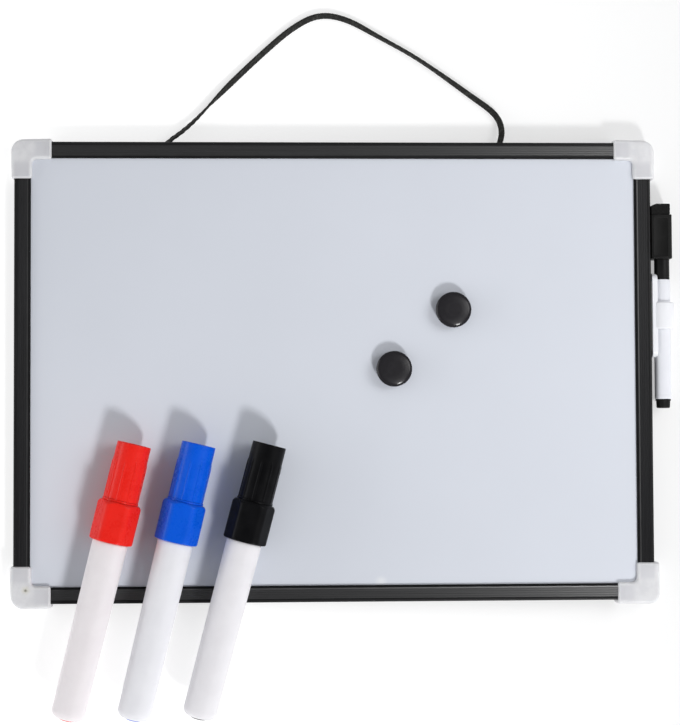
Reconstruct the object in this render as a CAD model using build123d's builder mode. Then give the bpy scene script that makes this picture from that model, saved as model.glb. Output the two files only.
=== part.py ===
from build123d import *
import math
import os

# Hanging magnetic whiteboard with two button magnets, a clip-on pen with an
# eraser cap and three loose board markers.  Millimetres.
#
# Frame: the board lies on its back.  +X runs to the right along the long side,
# +Y runs up the board towards the hanging cord, +Z points out of the writing
# face.  The origin is the middle of the bottom rail's back face, so z = 0 is
# the plane that the frame rests on (or the wall it hangs against).

os.makedirs("parts", exist_ok=True)

# ------------------------------------------------------------------ dimensions
# frame
frame_w = 350.0            # outside of the rails, along X
frame_h = 252.0            # outside of the rails, along Y
rail_face = 9.3            # width of a rail seen from the front
rail_depth = 11.0          # back face to front crest
rail_lip = 1.5             # front lip above the writing face
back_lip = 1.0             # lip behind the back sheet
rail_wall = 1.1            # outer wall of the rail
chamber_w = 3.4            # hollow chamber beside the outer wall
chamber_z0, chamber_z1 = 1.2, 9.6
channel_u = 5.5            # bottom of the channel that holds the panel
rail_cut = 12.0            # rails stop this far short of the frame's corner
rib_pitch = 1.3            # four fine ribs along the front of each rail
rib_first = 1.65
rib_depth = 0.3

# panel
panel_inset = 5.7          # panel edge from the outside of the rails
sheet_t = 0.4              # enamelled steel writing sheet
back_t = 0.5               # back sheet

# corner guards
# how far each guard stands outside the rails: to the side at its corner and at
# its arm's end, then above or below at its corner and at its arm's end, and
# the radius of its outer corner
guard_shapes = {
    (-1, 1): (1.9, 1.45, 1.15, 1.6, 7.0),
    (1, 1): (2.1, 2.15, 1.1, 1.6, 6.6),
    (-1, -1): (1.2, 1.7, 2.9, 2.4, 7.6),
    (1, -1): (2.75, 2.7, 2.3, 2.25, 5.8),
}
guard_in = 0.5             # laps this far past the rails' inner edge
guard_arm = 20.5           # arm end, from the frame's corner
guard_top = 12.2
guard_inner_r = 2.5
guard_gap = 0.05

# hanging cord (flat braid that twists, so its envelope is a round tube)
cord_d = 3.8
cord_z = 1.95              # centre height where it lies on the table

# button magnets
magnet_r = 9.8
magnet_h = 7.4
magnet_places = {"left": (32.2, 122.3), "right": (64.9, 154.6)}

# pen clip and its pen
pen_x = 181.7              # pen axis, beside the right rail
pen_z = 6.8
pen_r = 4.6
pen_skirt_r = 4.2
clip_bore = pen_r + 0.10
clip_band_r = 6.5
clip_y0, clip_y1 = 128.3, 174.9
band_y0, band_y1 = 144.0, 159.0
pad_t = 0.5                # adhesive pad between clip and rail
pen_tail_y = 100.4
pen_barrel_y = 105.4       # lower end of the white barrel
pen_shoulder_y = 171.5     # barrel meets cap
pen_block_y = 182.8        # eraser block starts
pen_block_top = 207.4      # felt starts
pen_top_y = 213.4

# loose markers
marker_len = 152.0
marker_tail_r = 9.1
marker_front_r = 9.6
marker_collar_af = 21.8
marker_collar_round = 5.0
marker_shoulder = 98.0     # barrel shoulder, from the tail end
marker_gap = 0.3
marker_cap_r = 9.2
marker_places = {          # cap end (x, y) and lean from +Y towards +X
    "red": ((-108.8, 81.7), 13.8),
    "blue": ((-74.1, 81.6), 13.6),
    "black": ((-36.0, 81.3), 14.8),
}

# ------------------------------------------------------------------ derived
y0 = -rail_face / 2                    # outside of the bottom rail
y1 = y0 + frame_h                      # outside of the top rail
x1 = frame_w / 2
face_z = rail_depth - rail_lip         # writing face
marker_z = face_z + marker_gap + marker_collar_af / 2
pieces = []


def keep(part, name):
    part.label = name
    export_step(part, "parts/" + name + ".step")
    pieces.append((name, part))


# ------------------------------------------------------------------ panel
with BuildPart() as writing_surface:
    with BuildSketch(Plane.XY.offset(face_z - sheet_t)):
        with Locations((0, (y0 + y1) / 2)):
            RectangleRounded(frame_w - 2 * panel_inset, frame_h - 2 * panel_inset, 1.5)
    extrude(amount=sheet_t)
keep(writing_surface.part, "writing_surface")

with BuildPart() as core_panel:
    with BuildSketch(Plane.XY.offset(back_lip + back_t)):
        with Locations((0, (y0 + y1) / 2)):
            RectangleRounded(frame_w - 2 * panel_inset, frame_h - 2 * panel_inset, 1.5)
    extrude(amount=face_z - sheet_t - back_lip - back_t)
keep(core_panel.part, "core_panel")

with BuildPart() as back_sheet:
    with BuildSketch(Plane.XY.offset(back_lip)):
        with Locations((0, (y0 + y1) / 2)):
            RectangleRounded(frame_w - 2 * panel_inset, frame_h - 2 * panel_inset, 1.5)
    extrude(amount=back_t)
keep(back_sheet.part, "back_sheet")


# ------------------------------------------------------------------ rails
# Extruded section, drawn with u = distance in from the outside face and
# v = height: a closed chamber on the outside, an open channel for the panel on
# the inside, four fine ribs and a sloping inner edge on the front.
def rail(plane, length):
    with BuildPart() as bar:
        with BuildSketch(plane):
            with BuildLine():
                Polyline((1.0, rail_depth), (rib_first, rail_depth),
                         (rib_first, rail_depth - rib_depth))
                for i in range(4):
                    a = rib_first + i * rib_pitch
                    ThreePointArc((a, rail_depth - rib_depth),
                                  (a + rib_pitch / 2, rail_depth - 0.02),
                                  (a + rib_pitch, rail_depth - rib_depth))
                b = rib_first + 4 * rib_pitch
                Polyline((b, rail_depth - rib_depth), (b + 0.12, rail_depth),
                         (b + 0.85, rail_depth), (rail_face - 0.25, rail_depth - 0.45),
                         (rail_face, rail_depth - 0.7), (rail_face, face_z),
                         (channel_u, face_z), (channel_u, back_lip), (rail_face, back_lip),
                         (rail_face, 0.0), (0.3, 0.0), (0.0, 0.3), (0.0, rail_depth - 1.0))
                ThreePointArc((0.0, rail_depth - 1.0),
                              (1.0 - math.sqrt(0.5), rail_depth - 1.0 + math.sqrt(0.5)),
                              (1.0, rail_depth))
            make_face()
            with Locations((rail_wall + chamber_w / 2, (chamber_z0 + chamber_z1) / 2)):
                RectangleRounded(chamber_w, chamber_z1 - chamber_z0, 0.3, mode=Mode.SUBTRACT)
        extrude(amount=length)
    return bar.part


rail_x = frame_w - 2 * rail_cut
rail_y = frame_h - 2 * rail_cut
keep(rail(Plane(origin=(-rail_x / 2, y0, 0), x_dir=(0, 1, 0), z_dir=(1, 0, 0)), rail_x),
     "rail_bottom")
keep(rail(Plane(origin=(-x1, y1 - rail_cut, 0), x_dir=(1, 0, 0), z_dir=(0, -1, 0)), rail_y),
     "rail_left")
keep(rail(Plane(origin=(x1, y0 + rail_cut, 0), x_dir=(-1, 0, 0), z_dir=(0, 1, 0)), rail_y),
     "rail_right")

# cord exits in the top rail's outer wall: slots, because the cord leans as it leaves
slot_z = 5.4
left_exit_x, right_exit_x = -94.8, 92.7

with BuildPart() as rail_top:
    add(rail(Plane(origin=(rail_x / 2, y1, 0), x_dir=(0, -1, 0), z_dir=(-1, 0, 0)), rail_x))
    with BuildSketch(Plane(origin=(0, y1 + 1.0, 0), x_dir=(1, 0, 0), z_dir=(0, -1, 0))):
        with Locations((left_exit_x, slot_z)):
            SlotOverall(9.4, 4.6)
        with Locations((right_exit_x, slot_z)):
            SlotOverall(6.6, 4.6)
    extrude(amount=1.0 + rail_wall + 0.4, mode=Mode.SUBTRACT)
keep(rail_top.part, "rail_top")


# ------------------------------------------------------------------ corner guards
# A moulded cap: skin over the front and outside of both rails, a hollow corner
# block that fills the space between the rail ends, and a tongue into each
# rail's chamber.  (u, v) run in from the frame's corner along the two rails.
def corner_guard(sx, sy, gate=False):
    cx, cy = sx * x1, (y1 if sy > 0 else y0)

    def at(u, v):
        return (cx - sx * u, cy - sy * v)

    def rect(ua, va, ub, vb, flip=False):
        if flip:
            ua, va, ub, vb = va, ua, vb, ub
        Polygon(at(ua, va), at(ub, va), at(ub, vb), at(ua, vb), align=None)

    w, a, g = rail_face + guard_in, guard_arm, guard_gap
    side, side_end, edge, edge_end, corner_r = guard_shapes[sx, sy]
    outer, end_h, end_v = (-side, -edge), (a, -edge_end), (-side_end, a)
    with BuildPart() as guard:
        with BuildSketch(Plane.XY) as plan:
            with BuildLine():
                Polyline(at(*outer), at(*end_h), at(a, w), at(w, w), at(w, a), at(*end_v), close=True)
            make_face()

            def corner(u, v):
                p = Vector(*at(u, v), 0)
                return [k for k in plan.vertices() if (Vector(k.X, k.Y, 0) - p).length < 0.05]

            fillet(corner(*outer), radius=corner_r)
            fillet(corner(w, w), radius=guard_inner_r)
            fillet(corner(*end_h) + corner(a, w) + corner(w, a) + corner(*end_v), radius=1.1)
        extrude(amount=guard_top)
        fillet(guard.faces().sort_by(Axis.Z)[-1].edges(), radius=1.1)
        # room for the two rails
        for flip in (False, True):
            with BuildSketch(Plane.XY.offset(-1)):
                rect(rail_cut - g, -g, a + 5, w + 1, flip)
            extrude(amount=1 + face_z + g, mode=Mode.SUBTRACT)
            with BuildSketch(Plane.XY.offset(face_z)):
                rect(rail_cut - g, -g, a + 5, rail_face + g, flip)
            extrude(amount=rail_lip + g, mode=Mode.SUBTRACT)
        # room for the panel's corner
        with BuildSketch(Plane.XY.offset(back_lip - g)):
            rect(channel_u + 0.1, channel_u + 0.1, a + 5, a + 5)
        extrude(amount=face_z + g - back_lip + g, mode=Mode.SUBTRACT)
        # the corner block is hollow from the back
        for flip in (False, True):
            with BuildSketch(Plane.XY.offset(-1)):
                rect(0.7, 0.7, rail_cut - 1.5, channel_u - 1.1, flip)
            extrude(amount=1 + guard_top - 1.6, mode=Mode.SUBTRACT)
        # tongues
        for flip in (False, True):
            with BuildSketch(Plane.XY.offset(chamber_z0 + 0.1)):
                rect(rail_cut - 0.5, rail_wall + 0.1, guard_arm + 0.5, rail_wall + chamber_w - 0.1, flip)
            extrude(amount=chamber_z1 - chamber_z0 - 0.2)
        if gate:
            with BuildSketch(Plane.XY.offset(guard_top - 0.35)):
                with Locations(at(7.0, 7.75)):
                    SlotOverall(2.0, 1.2, rotation=-42)
            extrude(amount=1, mode=Mode.SUBTRACT)
    return guard.part


keep(corner_guard(-1, 1), "corner_top_left")
keep(corner_guard(1, 1), "corner_top_right")
keep(corner_guard(-1, -1, gate=True), "corner_bottom_left")
keep(corner_guard(1, -1), "corner_bottom_right")

# ------------------------------------------------------------------ hanging cord
# Straight runs joined by tangent arcs.  It leaves the slots in the top rail,
# comes down to the table and lies in one loose arch.
cord_route = [
    (-96.9, 246.0, slot_z),
    (-91.9, 249.4, slot_z),
    (-84.5, 254.6, 4.2),
    (-76.0, 261.8, 2.6),
    (-66.4, 273.2, cord_z),
    (-53.6, 285.2, cord_z),
    (-39.2, 299.8, cord_z),
    (-23.2, 312.6, cord_z),
    (-6.2, 321.8, cord_z),
    (9.6, 318.2, cord_z),
    (24.8, 308.2, cord_z),
    (43.2, 298.2, cord_z),
    (62.6, 285.2, cord_z),
    (76.6, 275.4, cord_z),
    (86.4, 269.6, 2.1),
    (92.5, 262.6, 2.8),
    (94.2, 255.4, 4.2),
    (93.2, 249.9, slot_z),
    (92.8, 245.7, slot_z - 0.05),
]


def cord_radii(route):
    radii = []
    for a, b, c in zip(route, route[1:], route[2:]):
        va, vb = Vector(*b) - Vector(*a), Vector(*c) - Vector(*b)
        half = math.radians(va.get_angle(vb)) / 2
        radii.append(0.45 * min(va.length, vb.length) / math.tan(half))
    return radii


radii = cord_radii(cord_route)
with BuildPart() as hanging_cord:
    with BuildLine() as cord_path:
        FilletPolyline(*cord_route, radius=radii)
    with BuildSketch(Plane(origin=cord_path.wires()[0] @ 0, z_dir=cord_path.wires()[0] % 0)):
        Circle(cord_d / 2)
    sweep(path=cord_path.wires()[0])
keep(hanging_cord.part, "hanging_cord")
cord_length = cord_path.wires()[0].length
print("cord length %.1f mm, tube volume / (section x length) %.4f" % (
    cord_length, hanging_cord.part.volume / (math.pi * cord_d ** 2 / 4 * cord_length)))
print("cord arc radii", [round(r, 1) for r in radii])


# knots, inside the top rail's chamber
def cord_knot(x):
    r = chamber_w / 2 - 0.1
    with BuildPart() as knot:
        with BuildSketch(Plane(origin=(x, y1 - rail_wall - chamber_w / 2, slot_z),
                               x_dir=(1, 0, 0), z_dir=(0, 0, 1))):
            with BuildLine():
                Polyline((0, r), (0, -r), (1.2, -r))
                ThreePointArc((1.2, -r), (3.0, 0), (1.2, r))
                Line((1.2, r), (0, r))
            make_face()
        revolve(axis=Axis((x, 0, slot_z), (0, 1, 0)))
    return knot.part


keep(cord_knot(-98.6), "cord_knot_left")
keep(cord_knot(92.6), "cord_knot_right")


# ------------------------------------------------------------------ button magnets
def magnet_cap(x, y):
    z = face_z
    h = magnet_h
    with BuildPart() as cap:
        with BuildSketch(Plane(origin=(x, y, z), x_dir=(1, 0, 0), z_dir=(0, -1, 0))):
            with BuildLine():
                Polyline((0.0, 4.2), (7.7, 4.2), (7.7, 0.0), (9.0, 0.0), (9.3, 0.5),
                         (magnet_r, 4.8))
                ThreePointArc((magnet_r, 4.8), (9.038, 6.638), (7.2, h))
                ThreePointArc((7.2, h), (6.846, h - 0.146), (6.7, h - 0.5))
                Polyline((6.7, h - 0.5), (5.5, h - 0.66), (5.4, h - 0.54), (5.05, h - 0.54),
                         (4.9, h - 0.74), (3.6, h - 0.86), (3.5, h - 0.74), (3.15, h - 0.74),
                         (3.0, h - 0.92), (1.35, h - 0.97), (1.2, h - 0.76), (0.95, h - 0.62),
                         (0.55, h - 0.54), (0.0, h - 0.52), (0.0, 4.2))
            make_face()
        revolve(axis=Axis((x, y, 0), (0, 0, 1)))
    return cap.part


def magnet_disc(x, y):
    with BuildPart() as disc:
        with BuildSketch(Plane.XY.offset(face_z)):
            with Locations((x, y)):
                Circle(7.6)
        extrude(amount=4.1)
        chamfer(disc.edges().filter_by(GeomType.CIRCLE), length=0.3)
    return disc.part


for side, (mx, my) in magnet_places.items():
    keep(magnet_cap(mx, my), "magnet_%s_cap" % side)
    keep(magnet_disc(mx, my), "magnet_%s_disc" % side)

# ------------------------------------------------------------------ pen clip
# A moulded trough that hugs the pen, with one closed band round it, stuck to the
# right rail's outer face by a foam pad.
clip_x = x1 + pad_t
clip_w = 9.4
with BuildPart() as pen_clip:
    with BuildSketch(Plane(origin=(pen_x, clip_y1, pen_z), x_dir=(1, 0, 0), z_dir=(0, -1, 0))):
        with Locations(((clip_x + 178.4) / 2 - pen_x, 0)):
            Rectangle(178.4 - clip_x, clip_w)
        Circle(clip_bore, mode=Mode.SUBTRACT)
    extrude(amount=clip_y1 - clip_y0)
    with BuildSketch(Plane(origin=(x1 - 5, 0, 0), x_dir=(0, 1, 0), z_dir=(1, 0, 0))):
        with Locations(((clip_y0 + clip_y1) / 2, pen_z)):
            RectangleRounded(clip_y1 - clip_y0, clip_w, 4.2)
    extrude(amount=20, mode=Mode.INTERSECT)
    with BuildSketch(Plane(origin=(pen_x, band_y1, pen_z), x_dir=(1, 0, 0), z_dir=(0, -1, 0))):
        Circle(clip_band_r)
        with Locations((clip_x - pen_x, 0)):
            Rectangle(5, 20, align=(Align.MAX, Align.CENTER), mode=Mode.SUBTRACT)
        Circle(clip_bore, mode=Mode.SUBTRACT)
    extrude(amount=band_y1 - band_y0)
    fillet(pen_clip.edges().filter_by(GeomType.CIRCLE)
           .filter_by(lambda e: abs(e.radius - clip_band_r) < 0.01), radius=1.0)
keep(pen_clip.part, "pen_clip")

with BuildPart() as clip_pad:
    with BuildSketch(Plane(origin=(x1, 0, 0), x_dir=(0, 1, 0), z_dir=(1, 0, 0))):
        with Locations(((clip_y0 + clip_y1) / 2, 6.2)):
            RectangleRounded(41.0, 7.2, 3.0)
    extrude(amount=pad_t)
keep(clip_pad.part, "clip_adhesive_pad")

# ------------------------------------------------------------------ pen in the clip
pen_side = Plane(origin=(pen_x, 0, pen_z), x_dir=(0, 1, 0), z_dir=(1, 0, 0))
pen_axis = Axis((pen_x, 0, pen_z), (0, 1, 0))


def pen_cross(y):
    # cross-section plane looking down the pen, local x = X, local y = Z
    return Plane(origin=(pen_x, y, pen_z), x_dir=(1, 0, 0), z_dir=(0, -1, 0))


with BuildPart() as pen_barrel:
    with BuildSketch(pen_side):
        with BuildLine():
            Polyline((pen_barrel_y, 3.2), (pen_barrel_y, pen_r - 0.3), (pen_barrel_y + 0.3, pen_r),
                     (pen_shoulder_y - 0.2, pen_r), (pen_shoulder_y, pen_r - 0.2),
                     (pen_shoulder_y, 3.65), (pen_shoulder_y + 7.0, 3.65),
                     (pen_shoulder_y + 7.0, 3.2), close=True)
        make_face()
    revolve(axis=pen_axis)
keep(pen_barrel.part, "clip_pen_barrel")

with BuildPart() as pen_plug:
    with BuildSketch(pen_side):
        with BuildLine():
            Polyline((pen_tail_y, 0), (pen_tail_y, 3.35), (pen_tail_y + 0.4, 3.75),
                     (pen_barrel_y - 0.9, 3.9), (pen_barrel_y - 0.9, 4.2), (pen_barrel_y, 4.2),
                     (pen_barrel_y, 3.1), (pen_barrel_y + 5.0, 3.1), (pen_barrel_y + 5.0, 0),
                     close=True)
        make_face()
    revolve(axis=pen_axis)
keep(pen_plug.part, "clip_pen_end_plug")

with BuildPart() as pen_section:
    with BuildSketch(pen_side):
        with BuildLine():
            Polyline((pen_shoulder_y + 1.0, 1.4), (pen_shoulder_y + 1.0, 3.1),
                     (pen_shoulder_y + 7.05, 3.1), (pen_shoulder_y + 7.05, 3.55),
                     (pen_shoulder_y + 8.0, 3.5), (pen_shoulder_y + 12.0, 2.2),
                     (pen_shoulder_y + 14.0, 1.9), (pen_shoulder_y + 14.0, 1.4), close=True)
        make_face()
    revolve(axis=pen_axis)
keep(pen_section.part, "clip_pen_section")

with BuildPart() as pen_nib:
    with BuildSketch(pen_side):
        with BuildLine():
            Polyline((pen_shoulder_y + 1.2, 0), (pen_shoulder_y + 1.2, 1.3),
                     (pen_shoulder_y + 17.0, 1.3), (pen_shoulder_y + 18.6, 0.7),
                     (pen_shoulder_y + 18.9, 0), close=True)
        make_face()
    revolve(axis=pen_axis)
keep(pen_nib.part, "clip_pen_nib")

with BuildPart() as pen_reservoir:
    with BuildSketch(pen_cross(pen_shoulder_y)):
        Circle(2.95)
    extrude(amount=pen_shoulder_y - pen_barrel_y - 6.0)
keep(pen_reservoir.part, "clip_pen_reservoir")

# cap: a round skirt below, a square-cornered eraser holder above
block_x0, block_x1 = 175.35, 186.5
block_w = block_x1 - block_x0
block_d = 12.0
with BuildPart() as pen_cap:
    with BuildSketch(pen_cross(pen_block_y + 0.5)):
        Circle(pen_skirt_r)
    extrude(amount=pen_block_y + 0.5 - pen_shoulder_y - 0.1)
    chamfer(pen_cap.faces().sort_by(Axis.Y)[0].edges(), length=0.25)
    with BuildSketch(pen_cross(pen_block_top)):
        with Locations(((block_x0 + block_x1) / 2 - pen_x, 0)):
            RectangleRounded(block_w, block_d, 1.2)
    extrude(amount=pen_block_top - pen_block_y)
    fillet(pen_cap.faces().filter_by(Axis.Y).sort_by(Axis.Y)[-1].edges(), radius=0.5)
    # shallow framed panel on the front of the holder
    with BuildSketch(Plane(origin=(0, 0, pen_z + block_d / 2 - 0.3))):
        with Locations((block_x0 + block_w / 2 - 0.75, (pen_block_y + pen_block_top) / 2 - 0.2)):
            RectangleRounded(block_w - 3.3, pen_block_top - pen_block_y - 3.0, 0.6)
    extrude(amount=1, mode=Mode.SUBTRACT)
    # cap bore, in steps
    with BuildSketch(pen_cross(pen_shoulder_y + 8.4)):
        Circle(3.75)
    extrude(amount=10, mode=Mode.SUBTRACT)
    with BuildSketch(pen_cross(pen_shoulder_y + 20.5)):
        Circle(2.9)
    extrude(amount=20, mode=Mode.SUBTRACT)
    with BuildSketch(pen_cross(pen_shoulder_y + 12.8)):
        Circle(3.7)
    extrude(amount=10, mode=Mode.SUBTRACT)
    # socket for the felt
    with BuildSketch(pen_cross(pen_block_top + 1)):
        with Locations(((block_x0 + block_x1) / 2 - pen_x - 0.2, 0)):
            Rectangle(block_w - 3.0, block_d - 3.0)
    extrude(amount=3.0, mode=Mode.SUBTRACT)
keep(pen_cap.part, "clip_pen_cap")

with BuildPart() as pen_felt:
    with BuildSketch(Plane.XY.offset(pen_z - block_d / 2 + 0.4)):
        with BuildLine():
            Polyline((block_x0 + 0.1, pen_block_top + 0.05), (block_x1 - 0.9, pen_block_top + 0.05),
                     (block_x1 - 0.9, pen_top_y), (block_x0 + 3.4, pen_top_y),
                     (block_x0 + 0.1, pen_top_y - 1.5), close=True)
        make_face()
    extrude(amount=block_d - 0.8)
    fillet(pen_felt.edges().filter_by(Axis.Z).sort_by(Axis.Y)[-2:], radius=0.5)
    with BuildSketch(pen_cross(pen_block_top + 0.1)):
        with Locations(((block_x0 + block_x1) / 2 - pen_x - 0.2, 0)):
            Rectangle(block_w - 3.2, block_d - 3.2)
    extrude(amount=2.0)
keep(pen_felt.part, "clip_pen_eraser_felt")


# ------------------------------------------------------------------ loose markers
# Each lies across the bottom rail, parallel to the board: its hexagonal cap
# collar rests on the writing face and its barrel on the rail.
def marker(colour, cap_end, lean):
    t = math.radians(lean)
    ux, uy = math.sin(t), math.cos(t)
    tail = (cap_end[0] - ux * marker_len, cap_end[1] - uy * marker_len, marker_z)
    side = Plane(origin=tail, x_dir=(ux, uy, 0), z_dir=(uy, -ux, 0))
    axis = Axis(tail, (ux, uy, 0))

    def across(s):
        return Plane(origin=(tail[0] + ux * s, tail[1] + uy * s, marker_z),
                     x_dir=(-uy, ux, 0), z_dir=(ux, uy, 0))

    sh = marker_shoulder
    with BuildPart() as barrel:
        with BuildSketch(side):
            with BuildLine():
                Polyline((2.6, 4.6), (0.9, 4.6))
                ThreePointArc((0.9, 4.6),
                              (5.4 - 4.5 * math.sqrt(0.5), marker_tail_r - 4.5 + 4.5 * math.sqrt(0.5)),
                              (5.4, marker_tail_r))
                Polyline((5.4, marker_tail_r), (sh - 0.3, marker_front_r), (sh, marker_front_r - 0.3),
                         (sh, 8.7), (sh + 13.6, 8.7), (sh + 14.0, 8.4), (sh + 14.0, 7.9),
                         (6.0, 7.9), (2.6, 6.6), (2.6, 4.6))
            make_face()
        revolve(axis=axis)
    keep(barrel.part, "marker_%s_barrel" % colour)

    with BuildPart() as plug:
        with BuildSketch(side):
            with BuildLine():
                Polyline((6.1, 0), (6.1, 7.7), (7.9, 7.7), (7.9, 6.4), (12.0, 6.2), (12.0, 0),
                         close=True)
            make_face()
            with BuildLine():
                ThreePointArc((0.0, 0.0), (0.1, 2.4), (0.6, 4.3))
                Polyline((0.6, 4.3), (0.9, 4.5), (6.2, 4.5), (6.2, 0), (0.0, 0.0))
            make_face()
        revolve(axis=axis)
    keep(plug.part, "marker_%s_tail_plug" % colour)

    with BuildPart() as section:
        with BuildSketch(side):
            with BuildLine():
                Polyline((sh + 2.0, 2.5), (sh + 2.0, 7.8), (sh + 14.05, 7.8), (sh + 14.05, 8.5),
                         (sh + 15.6, 8.3), (sh + 15.8, 6.9), (sh + 24.0, 4.2), (sh + 27.0, 3.8),
                         (sh + 27.0, 2.5), close=True)
            make_face()
        revolve(axis=axis)
    keep(section.part, "marker_%s_section" % colour)

    with BuildPart() as nib:
        with BuildSketch(side):
            with BuildLine():
                Polyline((sh + 2.2, 0), (sh + 2.2, 2.4), (sh + 32.0, 2.4), (sh + 34.6, 1.5),
                         (sh + 35.2, 0), close=True)
            make_face()
        revolve(axis=axis)
    keep(nib.part, "marker_%s_nib" % colour)

    with BuildPart() as reservoir:
        with BuildSketch(across(12.4)):
            Circle(7.4)
        extrude(amount=sh + 1.8 - 12.4)
    keep(reservoir.part, "marker_%s_reservoir" % colour)

    c0 = sh + 0.15                       # mouth of the cap
    c1 = sh + 22.0                       # top of the hexagonal collar
    end = marker_len
    with BuildPart() as cap:
        with BuildSketch(across(c0)) as collar:
            RegularPolygon(marker_collar_af / 2, 6, major_radius=False)
            fillet(collar.vertices(), radius=marker_collar_round)
        extrude(amount=c1 - c0)
        # rounded mouth and sloping shoulder of the collar
        with BuildSketch(side):
            with BuildLine():
                Polyline((c0 - 1, 0), (c0 - 1, 10.9), (c0, 10.9))
                ThreePointArc((c0, 10.9), (c0 + 0.35, 11.6), (c0 + 1.2, 12.0))
                Polyline((c0 + 1.2, 12.0), (c1 - 2.6, 12.0))
                ThreePointArc((c1 - 2.6, 12.0), (c1 - 0.75, 11.3), (c1, 9.9))
                Polyline((c1, 9.9), (c1 + 1, 9.9), (c1 + 1, 0), (c0 - 1, 0))
            make_face()
        revolve(axis=axis, mode=Mode.INTERSECT)
        # step ring, upper tube with a thin rim
        with BuildSketch(side):
            with BuildLine():
                Polyline((c1 - 1.0, 0), (c1 - 1.0, 9.9), (c1 + 0.9, 9.9), (c1 + 1.2, 9.7),
                         (c1 + 1.2, 9.35), (end - 0.35, marker_cap_r), (end, marker_cap_r - 0.3),
                         (end, marker_cap_r - 0.95), (end - 0.3, marker_cap_r - 1.2),
                         (end - 3.2, marker_cap_r - 1.35), (end - 3.2, 6.0), (end - 3.0, 5.6),
                         (end - 1.4, 5.35), (end - 1.1, 5.0), (end - 1.1, 0), close=True)
            make_face()
        revolve(axis=axis)
        # ten fine grip ribs
        with BuildSketch(across(c1 + 0.8)):
            with PolarLocations(marker_cap_r + 0.1, 10, start_angle=9):
                Rectangle(0.9, 1.05)
        extrude(amount=end - 8.2 - c1 - 0.8, taper=0)
        with BuildSketch(side):
            with BuildLine():
                Polyline((c1 + 1.3, 9.75), (end - 11.0, 9.6), (end - 8.1, 9.15), (end - 8.1, 12.0),
                         (c1 + 1.3, 12.0), close=True)
            make_face()
        revolve(axis=axis, mode=Mode.SUBTRACT)
        # bore
        with BuildSketch(side):
            with BuildLine():
                Polyline((c0 - 1, 0), (c0 - 1, 8.8), (sh + 16.0, 8.8), (sh + 16.4, 7.4),
                         (end - 8.0, 7.2), (end - 6.4, 5.4), (end - 6.4, 0), close=True)
            make_face()
        revolve(axis=axis, mode=Mode.SUBTRACT)
    keep(cap.part, "marker_%s_cap" % colour)


for colour, (cap_end, lean) in marker_places.items():
    marker(colour, cap_end, lean)

print(len(pieces), "pieces")
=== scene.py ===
import math

import bmesh
import bpy
import numpy as np
from mathutils import Matrix, Vector, noise


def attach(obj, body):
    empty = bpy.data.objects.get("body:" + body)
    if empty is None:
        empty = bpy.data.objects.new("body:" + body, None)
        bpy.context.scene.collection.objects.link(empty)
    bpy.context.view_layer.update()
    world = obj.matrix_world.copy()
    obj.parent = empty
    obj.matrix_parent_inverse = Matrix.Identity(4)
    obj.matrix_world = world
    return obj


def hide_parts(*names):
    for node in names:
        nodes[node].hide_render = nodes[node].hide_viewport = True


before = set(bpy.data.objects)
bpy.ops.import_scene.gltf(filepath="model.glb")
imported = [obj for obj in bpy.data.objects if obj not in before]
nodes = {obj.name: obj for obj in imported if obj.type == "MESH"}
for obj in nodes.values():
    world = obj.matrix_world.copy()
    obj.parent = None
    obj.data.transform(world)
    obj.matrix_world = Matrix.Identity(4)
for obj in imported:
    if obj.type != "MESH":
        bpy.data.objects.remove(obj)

# Looks of the hanging whiteboard, its magnets, clip-on pen and loose markers.
# Everything is in the CAD frame: +X right, +Y up the board, +Z out of the
# writing face.  Shapes are written in millimetres and scaled on the way in.

MM = 0.001
scene = bpy.context.scene
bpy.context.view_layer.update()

# ------------------------------------------------------------------ dimensions
# The same numbers as part.py has, in millimetres.
frame_w, frame_h = 350.0, 252.0
rail_face, rail_depth, rail_lip, back_lip = 9.3, 11.0, 1.5, 1.0
rail_wall, chamber_w, chamber_z0, chamber_z1 = 1.1, 3.4, 1.2, 9.6
channel_u, rail_cut = 5.5, 12.0
guard_in, guard_arm, guard_top, guard_inner_r, guard_gap = 0.5, 20.5, 12.2, 2.5, 0.05
guard_shapes = {
    (-1, 1): (1.9, 1.45, 1.15, 1.6, 7.0),
    (1, 1): (2.1, 2.15, 1.1, 1.6, 6.6),
    (-1, -1): (1.2, 1.7, 2.9, 2.4, 7.6),
    (1, -1): (2.75, 2.7, 2.3, 2.25, 5.8),
}
y0 = -rail_face / 2
y1 = y0 + frame_h
x1 = frame_w / 2
face_z = rail_depth - rail_lip
magnet_r, magnet_h = 9.8, 7.4
magnet_places = {"left": (32.2, 122.3), "right": (64.9, 154.6)}
pen_x, pen_z, pen_r, pen_skirt_r = 181.7, 6.8, 4.6, 4.2
clip_bore, clip_band_r = 4.7, 6.5
clip_y0, clip_y1, band_y0, band_y1, pad_t = 128.3, 174.9, 144.0, 159.0, 0.5
pen_tail_y, pen_barrel_y, pen_shoulder_y = 100.4, 105.4, 171.5
pen_block_y, pen_block_top, pen_top_y = 182.8, 207.4, 213.4
block_x0, block_x1, block_d = 175.35, 186.5, 12.0
marker_len, marker_tail_r, marker_front_r = 152.0, 9.1, 9.6
marker_collar_af, marker_collar_round = 21.8, 5.0
marker_shoulder, marker_cap_r, marker_gap = 98.0, 9.2, 0.3
marker_z = face_z + marker_gap + marker_collar_af / 2
marker_places = {
    "red": ((-108.8, 81.7), 13.8),
    "blue": ((-74.1, 81.6), 13.6),
    "black": ((-36.0, 81.3), 14.8),
}

# ------------------------------------------------------------------ camera
cam_data = bpy.data.cameras.new("camera")
cam_data.sensor_width = 36.0
cam_data.lens = 1823.8 * 36.0 / 725.0
cam_data.clip_start, cam_data.clip_end = 0.02, 30.0
camera = bpy.data.objects.new("camera", cam_data)
camera.location = (-0.03793, 0.08538, 1.00796)
camera.rotation_euler = (0.0408, -0.0405, -0.0043)
scene.collection.objects.link(camera)
scene.camera = camera


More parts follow.
